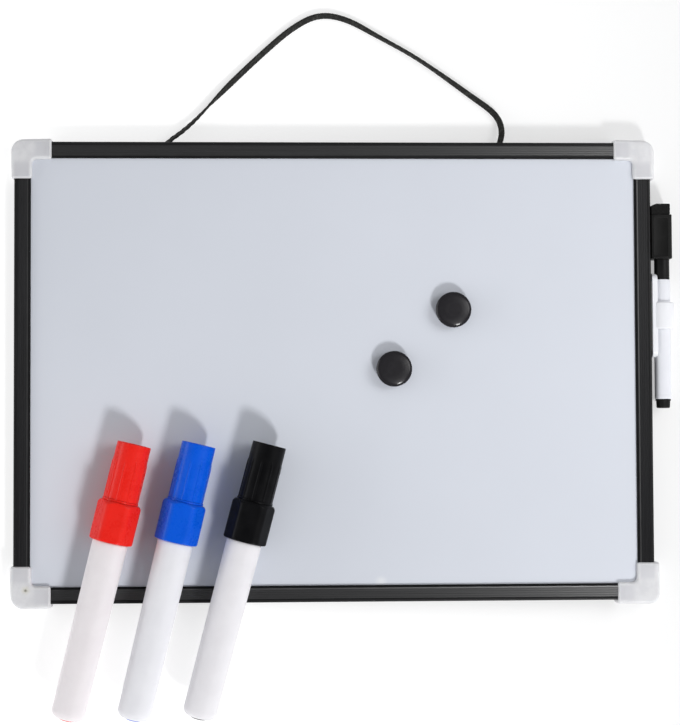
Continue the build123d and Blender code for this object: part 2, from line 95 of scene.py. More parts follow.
# ------------------------------------------------------------------ node helpers
class Shader:
    """A Principled material and small helpers to wire what varies over a surface."""

    def __init__(self, name, **sockets):
        self.mat = bpy.data.materials.new(name)
        self.mat.use_nodes = True
        self.nt = self.mat.node_tree
        self.nt.nodes.clear()
        self.out = self.nt.nodes.new("ShaderNodeOutputMaterial")
        self.b = self.nt.nodes.new("ShaderNodeBsdfPrincipled")
        self.nt.links.new(self.b.outputs[0], self.out.inputs[0])
        for k, v in sockets.items():
            s = self.b.inputs[k.replace("_", " ")]
            s.default_value = (*v, 1.0) if hasattr(v, "__len__") and len(v) == 3 and s.type == "RGBA" else v
        self.coord = self.nt.nodes.new("ShaderNodeTexCoord").outputs["Object"]

    def link(self, a, b):
        self.nt.links.new(a, b)

    def moved(self, scale=(1, 1, 1), turn=(0, 0, 0), shift=(0, 0, 0), src=None):
        n = self.nt.nodes.new("ShaderNodeMapping")
        n.inputs["Scale"].default_value = scale
        n.inputs["Rotation"].default_value = turn
        n.inputs["Location"].default_value = shift
        self.link(src or self.coord, n.inputs["Vector"])
        return n.outputs["Vector"]

    def noise(self, scale, detail=3.0, rough=0.5, warp=0.0, src=None):
        n = self.nt.nodes.new("ShaderNodeTexNoise")
        n.inputs["Scale"].default_value = scale
        n.inputs["Detail"].default_value = detail
        n.inputs["Roughness"].default_value = rough
        n.inputs["Distortion"].default_value = warp
        self.link(src or self.coord, n.inputs["Vector"])
        return n.outputs["Fac"]

    def voronoi(self, scale, src=None, feature="F1"):
        n = self.nt.nodes.new("ShaderNodeTexVoronoi")
        n.feature = feature
        n.inputs["Scale"].default_value = scale
        self.link(src or self.coord, n.inputs["Vector"])
        return n.outputs["Distance"]

    def span(self, value, a, b, lo=0.0, hi=1.0, smooth=True):
        n = self.nt.nodes.new("ShaderNodeMapRange")
        n.interpolation_type = "SMOOTHSTEP" if smooth else "LINEAR"
        for k, v in zip(("From Min", "From Max", "To Min", "To Max"), (a, b, lo, hi)):
            n.inputs[k].default_value = v
        self.link(value, n.inputs["Value"])
        return n.outputs["Result"]

    def math(self, op, a, b=None):
        n = self.nt.nodes.new("ShaderNodeMath")
        n.operation = op
        for i, v in enumerate((a, b)):
            if v is None:
                continue
            if isinstance(v, (int, float)):
                n.inputs[i].default_value = v
            else:
                self.link(v, n.inputs[i])
        return n.outputs[0]

    def xyz(self, src=None):
        n = self.nt.nodes.new("ShaderNodeSeparateXYZ")
        self.link(src or self.coord, n.inputs[0])
        return n.outputs

    def mix(self, fac, a, b):
        n = self.nt.nodes.new("ShaderNodeMix")
        n.data_type = "RGBA"
        for s, v in ((n.inputs[0], fac), (n.inputs[6], a), (n.inputs[7], b)):
            if isinstance(v, (int, float)):
                s.default_value = v
            elif isinstance(v, tuple):
                s.default_value = (*v, 1.0)
            else:
                self.link(v, s)
        return n.outputs[2]

    def bump(self, *layers):
        """Each layer is (height, strength, distance in mm)."""
        last = None
        for height, strength, distance in layers:
            n = self.nt.nodes.new("ShaderNodeBump")
            n.inputs["Strength"].default_value = strength
            n.inputs["Distance"].default_value = distance * MM
            self.link(height, n.inputs["Height"])
            if last is not None:
                self.link(last, n.inputs["Normal"])
            last = n.outputs["Normal"]
        self.link(last, self.b.inputs["Normal"])

    def set(self, socket, value):
        self.link(value, self.b.inputs[socket])


def tint(c, k):
    return tuple(min(1.0, v * k) for v in c)


# ------------------------------------------------------------------ materials
def make_enamel():
    s = Shader("white_enamel", IOR=1.5, Specular_IOR_Level=0.5, Coat_Weight=0.25, Coat_Roughness=0.06)
    base = (0.660, 0.687, 0.752)
    cloud = s.noise(7.0, 4.0, 0.55)
    fine = s.noise(60.0, 5.0, 0.6)
    # faint ghosts of old writing and wiping, stretched along the wipe
    wipe = s.noise(1.0, 3.0, 0.45, 0.2, s.moved((5, 16, 1), (0, 0, 0.5)))
    # one small light smudge low on the sheet
    smudge = s.nt.nodes.new("ShaderNodeVectorMath")
    smudge.operation = "DISTANCE"
    smudge.inputs[1].default_value = (0.0247, 0.0082, 0.0095)
    s.link(s.moved((1.0, 1.25, 1.0)), smudge.inputs[0])
    smudge = s.span(smudge.outputs["Value"], 0.0045, 0.0, 0.0, 0.6)
    c = s.mix(s.span(cloud, 0.3, 0.7), tint(base, 0.985), tint(base, 1.015))
    c = s.mix(s.span(wipe, 0.40, 0.80, 0.0, 0.25), c, tint(base, 0.965))
    c = s.mix(smudge, c, (0.83, 0.84, 0.86))
    s.set("Base Color", c)
    s.set("Roughness", s.math("ADD", s.span(wipe, 0.2, 0.8, 0.21, 0.25), s.span(fine, 0.3, 0.7, 0.0, 0.02)))
    s.bump((s.noise(420.0, 2.0, 0.5), 0.05, 0.05), (s.noise(45.0, 2.0, 0.5), 0.04, 0.2))
    return s.mat


def make_rail():
    """Black lacquered aluminium, satin, with fine draw lines along each rail."""
    s = Shader("rail_black", Specular_IOR_Level=0.22, IOR=1.45)
    # the draw lines run along each rail: short and long rails differ by direction
    x, y, _ = s.xyz()
    along_x = s.noise(1.0, 3.0, 0.6, 0.0, s.moved((26, 2600, 2600)))
    along_y = s.noise(1.0, 3.0, 0.6, 0.0, s.moved((2600, 26, 2600)))
    near_side = s.span(s.math("ABSOLUTE", x), 0.1655, 0.1656)
    lines = s.nt.nodes.new("ShaderNodeMix")
    lines.data_type = "FLOAT"
    s.link(near_side, lines.inputs[0])
    s.link(along_x, lines.inputs[2])
    s.link(along_y, lines.inputs[3])
    lines = lines.outputs[0]
    dust = s.span(s.noise(900.0, 2.0, 0.7), 0.66, 0.8, 0.0, 1.0)
    c = s.mix(s.span(lines, 0.3, 0.7), (0.0100, 0.0100, 0.0105), (0.0150, 0.0150, 0.0160))
    c = s.mix(s.math("MULTIPLY", dust, 0.2), c, (0.07, 0.07, 0.07))
    s.set("Base Color", c)
    s.set("Roughness", s.math("ADD", s.span(lines, 0.3, 0.7, 0.30, 0.40), s.span(s.noise(35.0, 3.0), 0.35, 0.65, -0.02, 0.05)))
    s.bump((lines, 0.10, 0.06))
    return s.mat


def make_rail_brushed(name, level, rough):
    """The ribbed band of a rail, brushed along its length, so that its shine spreads across the rail."""
    s = Shader(name, Specular_IOR_Level=level, IOR=1.58, Anisotropic=0.95)
    lay = s.nt.nodes.new("ShaderNodeUVMap")
    lay.uv_map = "lay"
    lines = s.noise(1.0, 4.0, 0.6, 0.0, s.moved((90, 1.2, 1), src=lay.outputs[0]))
    fine = s.noise(1.0, 3.0, 0.6, 0.0, s.moved((340, 5, 1), src=lay.outputs[0]))
    tan = s.nt.nodes.new("ShaderNodeTangent")
    tan.direction_type = "UV_MAP"
    tan.uv_map = "lay"
    s.link(tan.outputs[0], s.b.inputs["Tangent"])
    c = s.mix(s.span(lines, 0.3, 0.7), (0.0065, 0.0065, 0.0073), (0.0130, 0.0130, 0.0144))
    s.set("Base Color", c)
    s.set("Roughness", s.math("ADD", s.span(lines, 0.3, 0.7, rough, rough + 0.05), s.span(fine, 0.3, 0.7, -0.02, 0.03)))
    s.bump((fine, 0.15, 0.03))
    return s.mat


def make_guard():
    """Milky polypropylene.  Over the black rail ends the colour is painted darker: painted shade that stands in for the
    black rail seen through the skin that covers them.
    """
    s = Shader("guard_milky", Subsurface_Weight=0.35, Subsurface_Radius=(1.0, 0.95, 0.9), Subsurface_Scale=0.0022,
               Specular_IOR_Level=0.45, IOR=1.5)
    x, y, z = s.xyz()
    u = s.math("SUBTRACT", x1 * MM, s.math("ABSOLUTE", x))
    v = s.math("SUBTRACT", frame_h / 2 * MM, s.math("ABSOLUTE", s.math("SUBTRACT", y, (y0 + y1) / 2 * MM)))

    def arm(a, b):
        # a runs along the arm, b across it
        t = s.math("MULTIPLY", s.span(a, 0.0096, 0.0134), s.span(a, 0.0199, 0.0188))
        return s.math("MULTIPLY", t, s.math("MULTIPLY", s.span(b, -0.0009, 0.0012), s.span(b, 0.0089, 0.0074)))

    # painted shade: mask of the arm parts that lie over the black rail ends
    over = s.math("MAXIMUM", arm(u, v), arm(v, u))
    cloud = s.noise(170.0, 3.0, 0.55)
    grain = s.noise(900.0, 3.0, 0.6)
    c = s.mix(s.span(cloud, 0.3, 0.7), (0.638, 0.638, 0.658), (0.706, 0.706, 0.721))
    # painted shade: darker grey mixed into the milky colour over the rail ends
    c = s.mix(s.math("MULTIPLY", over, s.span(cloud, 0.25, 0.75, 0.35, 0.60)), c, (0.52, 0.52, 0.555))
    # the gate mark on the bottom left guard: a scorched spot with a faint yellowed ring
    gate = s.nt.nodes.new("ShaderNodeVectorMath")
    gate.operation = "DISTANCE"
    gate.inputs[1].default_value = (-0.1680, 0.0031, 0.0122)
    s.link(s.coord, gate.inputs[0])
    ragged = s.math("ADD", gate.outputs["Value"], s.span(s.noise(900.0, 2.0), 0.3, 0.7, -0.0003, 0.0003))
    c = s.mix(s.span(ragged, 0.0032, 0.0008, 0.0, 0.45), c, (0.60, 0.58, 0.47))
    c = s.mix(s.span(ragged, 0.0013, 0.0001, 0.0, 0.75), c, (0.150, 0.132, 0.090))
    s.set("Base Color", c)
    s.set("Roughness", s.span(grain, 0.3, 0.7, 0.36, 0.46))
    s.bump((s.noise(260.0, 3.0, 0.5), 0.12, 0.12), (grain, 0.06, 0.04))
    return s.mat


def make_gloss(name, dark, light, rough=(0.22, 0.30), bump=0.06, coat=0.0, sss=None, level=0.5, grain=700.0):
    s = Shader(name, Specular_IOR_Level=level, IOR=1.48, Coat_Weight=coat, Coat_Roughness=0.1)
    if sss:
        s.b.inputs["Subsurface Weight"].default_value = sss[0]
        s.b.inputs["Subsurface Radius"].default_value = sss[1]
        s.b.inputs["Subsurface Scale"].default_value = sss[2]
    cloud = s.noise(110.0, 3.0, 0.55)
    fine = s.noise(grain, 3.0, 0.6)
    s.set("Base Color", s.mix(s.span(cloud, 0.3, 0.7), dark, light))
    s.set("Roughness", s.math("ADD", s.span(cloud, 0.3, 0.7, rough[0], rough[1]), s.span(fine, 0.3, 0.7, -0.02, 0.03)))
    s.bump((fine, bump, 0.05), (s.noise(140.0, 2.0), bump, 0.10))
    return s.mat


def make_magnet(name, axis):
    """Black plastic, worn dull in the middle of its top and shinier towards its rim."""
    s = Shader(name, IOR=1.5)
    out = s.nt.nodes.new("ShaderNodeVectorMath")
    out.operation = "DISTANCE"
    out.inputs[1].default_value = (axis[0] * MM, axis[1] * MM, 0.0)
    s.link(s.moved((1, 1, 0)), out.inputs[0])
    out = out.outputs["Value"]
    fine = s.noise(520.0, 3.0, 0.6)
    scuff = s.span(s.noise(1.0, 4.0, 0.7, 1.2, s.moved((320, 900, 320), (0.2, 0.1, 0.8))), 0.60, 0.72)
    s.set("Base Color", s.mix(s.math("MULTIPLY", scuff, 0.35), (0.0120, 0.0110, 0.0135), (0.026, 0.025, 0.027)))
    s.set("Specular IOR Level", s.span(out, 0.0060, 0.0090, 0.40, 0.24))
    wear = s.math("ADD", s.span(fine, 0.3, 0.7, 0.0, 0.06), s.math("MULTIPLY", scuff, 0.10))
    s.set("Roughness", s.math("ADD", s.span(out, 0.0074, 0.0086, 0.37, 0.16), wear))
    s.bump((fine, 0.05, 0.04), (s.noise(120.0, 2.0), 0.05, 0.12))
    return s.mat


def make_fibre(name, dark, light, scale=1500.0, bump=0.5, sheen=0.3, sheen_tint=(1, 1, 1), rough=0.9):
    s = Shader(name, Roughness=rough, Specular_IOR_Level=0.12, Sheen_Weight=sheen, Sheen_Roughness=0.45)
    s.b.inputs["Sheen Tint"].default_value = (*sheen_tint, 1.0)
    f1 = s.noise(scale, 5.0, 0.7, 1.5)
    f2 = s.noise(scale * 0.22, 4.0, 0.6, 0.6)
    f3 = s.noise(1.0, 3.0, 0.7, 2.0, s.moved((scale * 0.25, scale * 1.2, scale * 0.5), (0.4, 0.2, 0.7)))
    c = s.mix(s.span(f1, 0.35, 0.68), dark, light)
    c = s.mix(s.span(f2, 0.3, 0.7, 0.0, 0.35), c, dark)
    s.set("Base Color", c)
    s.bump((f1, bump, 0.15), (f3, bump * 0.7, 0.12))
    return s.mat


def make_cord():
    """Polyester yarn: dark, with satin strands that catch the light here and there; where the strands are glossier
    their colour is also painted lighter, a painted sheen.
    """
    s = Shader("cord_black", Specular_IOR_Level=0.28)
    yarn = s.noise(2600.0, 4.0, 0.7, 0.8)
    flecks_and_painted_sheen = s.noise(520.0, 2.0, 0.6)
    c = s.mix(s.span(yarn, 0.3, 0.7), (0.004, 0.004, 0.0034), (0.014, 0.014, 0.0122))
    # painted sheen: lighter colour in the flecks where the yarn is also glossier
    c = s.mix(s.span(flecks_and_painted_sheen, 0.52, 0.72, 0.0, 0.6), c, (0.050, 0.050, 0.044))
    s.set("Base Color", c)
    s.set("Roughness", s.span(flecks_and_painted_sheen, 0.3, 0.7, 0.62, 0.48))
    s.bump((yarn, 0.5, 0.06))
    return s.mat


def make_foam():
    s = Shader("foam_white", Roughness=0.85, Specular_IOR_Level=0.2, Subsurface_Weight=0.2, Subsurface_Scale=0.001)
    cells = s.voronoi(1900.0)
    s.set("Base Color", s.mix(s.span(cells, 0.1, 0.6), (0.62, 0.61, 0.58), (0.80, 0.79, 0.76)))
    s.bump((cells, 0.5, 0.15))
    return s.mat


def make_board_core():
    s = Shader("board_core", Roughness=0.9, Specular_IOR_Level=0.15)
    chips = s.noise(1.0, 5.0, 0.7, 1.0, s.moved((260, 700, 1600)))
    flecks = s.span(s.noise(1400.0, 3.0, 0.7), 0.6, 0.75)
    c = s.mix(s.span(chips, 0.3, 0.7), (0.28, 0.19, 0.11), (0.47, 0.36, 0.235))
    s.set("Base Color", s.mix(s.math("MULTIPLY", flecks, 0.5), c, (0.13, 0.085, 0.05)))
    s.bump((chips, 0.5, 0.2))
    return s.mat


def make_back():
    """Light grey coated back sheet with a fine pebble and a few rubs."""
    s = Shader("back_plastic", Specular_IOR_Level=0.35, IOR=1.46)
    pebble = s.voronoi(900.0)
    cloud = s.noise(9.0, 4.0, 0.6)
    rub = s.span(s.noise(1.0, 5.0, 0.7, 0.8, s.moved((14, 90, 1), (0, 0, 0.25))), 0.62, 0.74)
    c = s.mix(s.span(cloud, 0.3, 0.7), (0.46, 0.47, 0.48), (0.53, 0.54, 0.55))
    s.set("Base Color", s.mix(s.math("MULTIPLY", rub, 0.3), c, (0.66, 0.66, 0.66)))
    s.set("Roughness", s.span(cloud, 0.3, 0.7, 0.48, 0.60))
    s.bump((pebble, 0.35, 0.06), (s.noise(60.0, 3.0), 0.08, 0.2))
    return s.mat


def make_ferrite():
    s = Shader("ferrite", Specular_IOR_Level=0.4, Metallic=0.25)
    grit = s.noise(1500.0, 5.0, 0.7)
    chip = s.span(s.voronoi(420.0), 0.0, 0.25)
    s.set("Base Color", s.mix(s.span(grit, 0.35, 0.7), (0.045, 0.044, 0.043), (0.11, 0.107, 0.104)))
    s.set("Roughness", s.span(chip, 0.0, 1.0, 0.45, 0.72))
    s.bump((grit, 0.4, 0.1), (chip, 0.15, 0.15))
    return s.mat


RED = ((0.790, 0.0185, 0.0120), (0.830, 0.0220, 0.0145))
BLUE = ((0.0024, 0.091, 0.640), (0.0034, 0.099, 0.685))
BLACK = ((0.0036, 0.0036, 0.0042), (0.0060, 0.0060, 0.0067))
enamel = make_enamel()
rail_mat = make_rail()
rail_brushed = make_rail_brushed("rail_black_brushed", 0.90, 0.445)
rail_brushed_side = make_rail_brushed("rail_black_brushed_side", 0.22, 0.44)
# a lighter, glossier copy of the rail black for the step facet: its gloss is real, its lighter base is a painted
# highlight
rail_edge_painted_lit = make_gloss("rail_black_edge_painted_lit", (0.0150, 0.0150, 0.0155), (0.0210, 0.0210, 0.0220), rough=(0.31, 0.36), bump=0.015, level=0.5)
# a darker, duller copy of the rail black for the lip slope: its lower gloss is real, its darker base is painted shade
rail_lip_painted_dark = make_gloss("rail_black_lip_painted_dark", (0.0060, 0.0060, 0.0066), (0.0095, 0.0095, 0.0105), rough=(0.50, 0.60), bump=0.02, level=0.08)
guard_mat = make_guard()
magnet_mats = {side: make_magnet("magnet_black_" + side, place) for side, place in magnet_places.items()}
cord_mat = make_cord()
foam_mat = make_foam()
core_mat = make_board_core()
back_mat = make_back()
ferrite_mat = make_ferrite()
cap_mats = {
    "red": make_gloss("cap_red", *RED, rough=(0.25, 0.31), bump=0.02, sss=(0.12, (1.0, 0.12, 0.06), 0.0016), level=0.16),
    "blue": make_gloss("cap_blue", *BLUE, rough=(0.25, 0.31), bump=0.02, sss=(0.10, (0.1, 0.25, 1.0), 0.0014), level=0.16),
    "black": make_gloss("cap_black", *BLACK, rough=(0.30, 0.36), bump=0.02, level=0.07),
}
barrel_mats = {
    "red": make_gloss("barrel_white_red", (0.778, 0.737, 0.756), (0.800, 0.760, 0.778), rough=(0.40, 0.50),
                      sss=(0.2, (1.0, 0.92, 0.94), 0.0015), bump=0.03, level=0.25),
    "blue": make_gloss("barrel_white_blue", (0.750, 0.748, 0.781), (0.772, 0.770, 0.802), rough=(0.40, 0.50),
                       sss=(0.2, (1.0, 0.98, 1.0), 0.0015), bump=0.03, level=0.25),
    "black": make_gloss("barrel_white_black", (0.742, 0.728, 0.755), (0.764, 0.750, 0.777), rough=(0.40, 0.50),
                        sss=(0.2, (1.0, 0.96, 0.98), 0.0015), bump=0.03, level=0.25),
}
pen_white = make_gloss("pen_barrel_white", (0.725, 0.735, 0.778), (0.745, 0.755, 0.796), rough=(0.30, 0.38),
                       sss=(0.15, (1, 1, 1), 0.001), bump=0.03, level=0.2)
clip_white = make_gloss("clip_white", (0.765, 0.772, 0.803), (0.788, 0.795, 0.822), rough=(0.34, 0.44),
                        sss=(0.2, (1, 1, 1), 0.0012), bump=0.05, level=0.2)
pen_black = make_gloss("pen_black", (0.0072, 0.0072, 0.0072), (0.0100, 0.0100, 0.0098), rough=(0.40, 0.48), level=0.12)
felt_mat = make_fibre("felt_black", (0.0045, 0.0045, 0.0045), (0.0165, 0.0165, 0.0160), bump=0.8, sheen=0.05)
reservoir_mat = make_fibre("reservoir_felt", (0.60, 0.59, 0.56), (0.82, 0.81, 0.78), bump=0.4, sheen=0.1)
section_mat = make_gloss("section_white", (0.74, 0.74, 0.75), (0.80, 0.80, 0.81), rough=(0.36, 0.46), sss=(0.15, (1, 1, 1), 0.001))
nib_mats = {
    "red": make_fibre("nib_red", (0.42, 0.010, 0.008), (0.70, 0.035, 0.025), bump=0.5, sheen=0.1),
    "blue": make_fibre("nib_blue", (0.006, 0.035, 0.30), (0.018, 0.085, 0.52), bump=0.5, sheen=0.1),
    "black": make_fibre("nib_black", (0.006, 0.006, 0.007), (0.022, 0.022, 0.024), bump=0.5, sheen=0.1),
}


# ------------------------------------------------------------------ mesh helpers
def make_object(name, verts, faces, mat, body, replaces=(), slot=None, angle=32):
    o = scratch(name, verts, faces)
    finish_object(o, mat, body, replaces, slot, angle)
    return o


def tidy(o, merge=2e-5):
    bm = bmesh.new()
    bm.from_mesh(o.data)
    bmesh.ops.remove_doubles(bm, verts=bm.verts, dist=merge)
    bmesh.ops.dissolve_degenerate(bm, edges=bm.edges, dist=merge)
    loose = [v for v in bm.verts if not v.link_faces]
    bmesh.ops.delete(bm, geom=loose, context="VERTS")
    bmesh.ops.recalc_face_normals(bm, faces=bm.faces)
    bm.to_mesh(o.data)
    bm.free()


def finish_object(o, mat, body, replaces=(), slot=None, angle=32):
    """From millimetres to metres, with its shading, its material and its place in the frame."""
    tidy(o)
    o.data.transform(Matrix.Scale(MM, 4))
    o.data.shade_smooth()
    if angle is not None:
        o.data.set_sharp_from_angle(angle=math.radians(angle))
    if mat is not None:
        o.data.materials.clear()
        o.data.materials.append(mat)
    if body is not None:
        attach(o, body)
    if replaces:
        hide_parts(*replaces)


def scratch(name, verts, faces):
    """A mesh object still in millimetres."""
    me = bpy.data.meshes.new(name)
    me.from_pydata([tuple(v) for v in verts], [], faces)
    o = bpy.data.objects.new(name, me)
    scene.collection.objects.link(o)
    tidy(o)
    return o


def box_mesh(lo, hi):
    (a, b, c), (d, e, f) = lo, hi
    v = [(a, b, c), (d, b, c), (d, e, c), (a, e, c), (a, b, f), (d, b, f), (d, e, f), (a, e, f)]
    return v, [(0, 3, 2, 1), (4, 5, 6, 7), (0, 1, 5, 4), (1, 2, 6, 5), (2, 3, 7, 6), (3, 0, 4, 7)]


def boolean(o, cutter, op="DIFFERENCE"):
    m = o.modifiers.new("cut", "BOOLEAN")
    m.operation, m.solver, m.object = op, "MANIFOLD", cutter
    bpy.context.view_layer.update()
    dg = bpy.context.evaluated_depsgraph_get()
    me = bpy.data.meshes.new_from_object(o.evaluated_get(dg))
    o.modifiers.clear()
    old = o.data
    o.data = me
    bpy.data.meshes.remove(old)
    bpy.data.objects.remove(cutter)
    return o


def rings_mesh(rings, start="fan", end="fan"):
    """Closed skin over rings of equal length.  An end is a point or "fan" (to its middle), "flat" (one face), or "join" (last
    ring meets first)."""
    n = len(rings[0])
    verts = [p for r in rings for p in r]
    faces = []
    for i in range(len(rings) - 1):
        for k in range(n):
            a, b = i * n + k, i * n + (k + 1) % n
            faces.append((a, b, b + n, a + n))
    if start == "join":
        off = (len(rings) - 1) * n
        for k in range(n):
            faces.append((off + k, off + (k + 1) % n, (k + 1) % n, k))
        return verts, faces
    for which, ring_i in ((start, 0), (end, len(rings) - 1)):
        base = ring_i * n
        if which == "flat":
            faces.append(tuple(range(base, base + n)))
        else:
            c = tuple(sum(p[j] for p in rings[ring_i]) / n for j in range(3))
            verts.append(c if which == "fan" else which)
            for k in range(n):
                faces.append((base + k, base + (k + 1) % n, len(verts) - 1))
    return verts, faces


def arc(cx, cy, r, a0, a1, n):
    return [(cx + r * math.cos(math.radians(a0 + (a1 - a0) * i / n)),
             cy + r * math.sin(math.radians(a0 + (a1 - a0) * i / n))) for i in range(n + 1)]


def lathe(profile, place, n=96, wobble=None):
    """Skin of a profile [(s, r), ...] turned about an axis.  place(s, r cos, r sin) gives a point.  A profile that starts and
    ends on the axis is closed there; any other is a closed loop."""
    closed = profile[0][1] == 0 and profile[-1][1] == 0
    rings = []
    for s, r in profile[1:-1] if closed else profile:
        ring = []
        for k in range(n):
            t = 2 * math.pi * k / n
            rr = r * (1.0 if wobble is None else wobble(s, t))
            ring.append(place(s, rr * math.cos(t), rr * math.sin(t)))
        rings.append(ring)
    if closed:
        return rings_mesh(rings, place(profile[0][0], 0, 0), place(profile[-1][0], 0, 0))
    return rings_mesh(rings, "join")


def rounded_outline(corners, inset=0.0, segs=8):
    """Corners [(x, y, radius)], anticlockwise.  Gives the outline moved inwards by inset, with the same number of points each time."""
    pts = []
    m = len(corners)
    for i in range(m):
        px, py, _ = corners[i - 1]
        x, y, r = corners[i]
        nx, ny, _ = corners[(i + 1) % m]
        d0 = Vector((x - px, y - py)).normalized()
        d1 = Vector((nx - x, ny - y)).normalized()
        n0, n1 = Vector((-d0.y, d0.x)), Vector((-d1.y, d1.x))
        turn = d0.x * d1.y - d0.y * d1.x
        # corner of the moved lines
        det = max(1e-9, 1 + n0.dot(n1))
        p = Vector((x, y)) + (n0 + n1) * (inset / det)
        rr = max(0.0, r - inset) if turn > 0 else r + inset
        half = math.acos(max(-1, min(1, d0.dot(d1)))) / 2
        back = rr * math.tan(half)
        a, b = p - d0 * back, p + d1 * back
        sign = 1 if turn > 0 else -1
        c = a + n0 * (rr * sign)
        va, vb = a - c, b - c
        for k in range(segs + 1):
            t = k / segs
            if rr < 1e-6:
                pts.append((p.x, p.y))
                continue
            ang = 2 * half * t * sign
            pts.append((c.x + va.x * math.cos(ang) - va.y * math.sin(ang),
                        c.y + va.x * math.sin(ang) + va.y * math.cos(ang)))
    return pts


def lofted(corners, levels, place, segs=8):
    """Prism over a rounded outline: levels [(height, inset)], flat ends."""
    rings = [[place(px, py, h) for px, py in rounded_outline(corners, inset, segs)] for h, inset in levels]
    return rings_mesh(rings, "flat", "flat")


def edge_levels(h0, h1, r0, r1, n=5):
    """Heights and insets of a prism with rounded edges of radius r0 below and r1 above."""
    out = [(h0, 0.0)]
    if r0:
        out = [(h0 + r0 * (1 - math.cos(math.radians(90 * i / n))), r0 * (1 - math.sin(math.radians(90 * i / n))))
               for i in range(n + 1)]
    if r1:
        out += [(h1 - r1 * (1 - math.sin(math.radians(90 * i / n))), r1 * (1 - math.cos(math.radians(90 * i / n))))
                for i in range(n + 1)]
    else:
        out.append((h1, 0.0))
    return out


def dress(node, mat):
    o = nodes[node]
    if len(o.material_slots) == 0:
        o.data.materials.append(mat)
    for slot in o.material_slots:
        slot.material = mat


# ------------------------------------------------------------------ hanging cord
# The route's points are part.py's.  Where the braid lies flat its middle is
# nearer to the table than where it stands on edge.
route = [
    (-95.0, 244.5, 5.4), (-90.5, 249.1, 5.2), (-84.0, 253.7, 4.0), (-75.9, 261.3, 2.6),
    (-65.9, 272.3, 1.95), (-53.7, 284.7, 1.55), (-38.7, 298.9, 1.4), (-23.5, 312.3, 1.4),
    (-8.6, 320.4, 1.5), (7.1, 318.1, 1.7), (25.6, 307.6, 1.85), (44.4, 297.4, 1.9),
    (63.0, 284.7, 1.85), (77.4, 274.2, 1.75), (87.6, 267.1, 1.7), (92.1, 261.7, 2.2),
    (93.6, 255.9, 3.7), (93.1, 250.3, 5.1), (91.4, 246.0, 5.35),
]
line_curve = bpy.data.curves.new("cord_line", "CURVE")
line_curve.dimensions = "3D"
line_curve.resolution_u = 24
spline = line_curve.splines.new("NURBS")
spline.points.add(len(route) - 1)
for p, (px, py, pz) in zip(spline.points, route):
    p.co = (px * MM, py * MM, pz * MM, 1.0)
spline.order_u = 3
spline.use_endpoint_u = True
line_object = bpy.data.objects.new("cord_line", line_curve)
line_mesh = bpy.data.meshes.new_from_object(line_object)
cord_points = np.array([v.co for v in line_mesh.vertices], float)
bpy.data.meshes.remove(line_mesh)
bpy.data.objects.remove(line_object)
bpy.data.curves.remove(line_curve)

BRAID_W, BRAID_T = 3.7, 1.5       # flat braid, width and thickness over the yarns


def along_of(points):
    return np.concatenate([[0], np.cumsum(np.linalg.norm(np.diff(points, axis=0), axis=1))])


cord_along = along_of(cord_points) / MM
cord_length = float(cord_along[-1])

# how far the braid is turned about its own line (0 = flat on the table), by place
turns = [((-95, 244.5), 48), ((-87, 252), 50), ((-80, 257.5), 54), ((-75.7, 261.7), 60), ((-72.3, 265.3), 73), ((-68.9, 269), 86),
         ((-65.4, 272.7), 104), ((-62, 276.3), 122), ((-57.7, 280.6), 142), ((-52.1, 286.2), 143), ((-40.5, 297.1), 144),
         ((-28.4, 307.9), 145), ((-15.3, 316.7), 144), ((-7.8, 319.2), 140), ((-1.7, 319.4), 136), ((4.1, 318.2), 132),
         ((9.7, 316.2), 130), ((15.3, 313.5), 125), ((20.4, 310.6), 117), ((25.7, 307.6), 110), ((30.9, 304.7), 106),
         ((43.1, 297.9), 104), ((55.7, 289.7), 107), ((60.6, 286.3), 113), ((65.4, 282.9), 118), ((70.4, 279.3), 124),
         ((75.2, 275.8), 130), ((80.1, 272.3), 136), ((84.9, 268.9), 140), ((89.5, 264.9), 148), ((93.4, 254.1), 150), ((91.4, 246), 142)]
turn_s, turn_a = [], []
for (tx, ty), a in turns:
    d = np.hypot(cord_points[:, 0] - tx * MM, cord_points[:, 1] - ty * MM)
    turn_s.append(float(cord_along[int(d.argmin())]))
    turn_a.append(float(a))


def cord_frames(step):
    """Even stations along the line: place, tangent, width direction, thickness direction."""
    n = int(cord_length / step) + 1
    at = np.linspace(0, cord_length, n)
    pos = np.stack([np.interp(at, cord_along, cord_points[:, k]) for k in range(3)], 1) / MM
    tan = np.gradient(pos, axis=0)
    # soften the small steps of the sampled line before taking directions from it
    for _ in range(3):
        tan[1:-1] = (tan[:-2] + 2 * tan[1:-1] + tan[2:]) / 4
    tan /= np.linalg.norm(tan, axis=1)[:, None]
    ang = np.interp(at, turn_s, turn_a)
    k = max(3, int(9 / step)) | 1
    pad = np.pad(ang, k // 2, mode="edge")
    ang = np.radians(np.convolve(pad, np.ones(k) / k, mode="valid"))
    side = np.cross(tan, (0, 0, 1.0))
    side /= np.linalg.norm(side, axis=1)[:, None]
    up = np.cross(side, tan)
    wide = side * np.cos(ang)[:, None] + up * np.sin(ang)[:, None]
    thin = np.cross(wide, tan)
    return at, pos, tan, wide, thin


def stadium(p, half_w, half_t):
    """Point and outward direction at share p round a flat loop with round ends."""
    straight, bow = 2 * (half_w - half_t), math.pi * half_t
    total = 2 * straight + 2 * bow
    d = (p % 1.0) * total
    e = half_w - half_t
    if d < straight:
        return (-e + d, half_t), (0.0, 1.0)
    d -= straight
    if d < bow:
        a = math.pi / 2 - d / half_t
        return (e + half_t * math.cos(a), half_t * math.sin(a)), (math.cos(a), math.sin(a))
    d -= bow
    if d < straight:
        return (e - d, -half_t), (0.0, -1.0)
    d -= straight
    a = -math.pi / 2 - d / half_t
    return (-e + half_t * math.cos(a), half_t * math.sin(a)), (math.cos(a), math.sin(a))


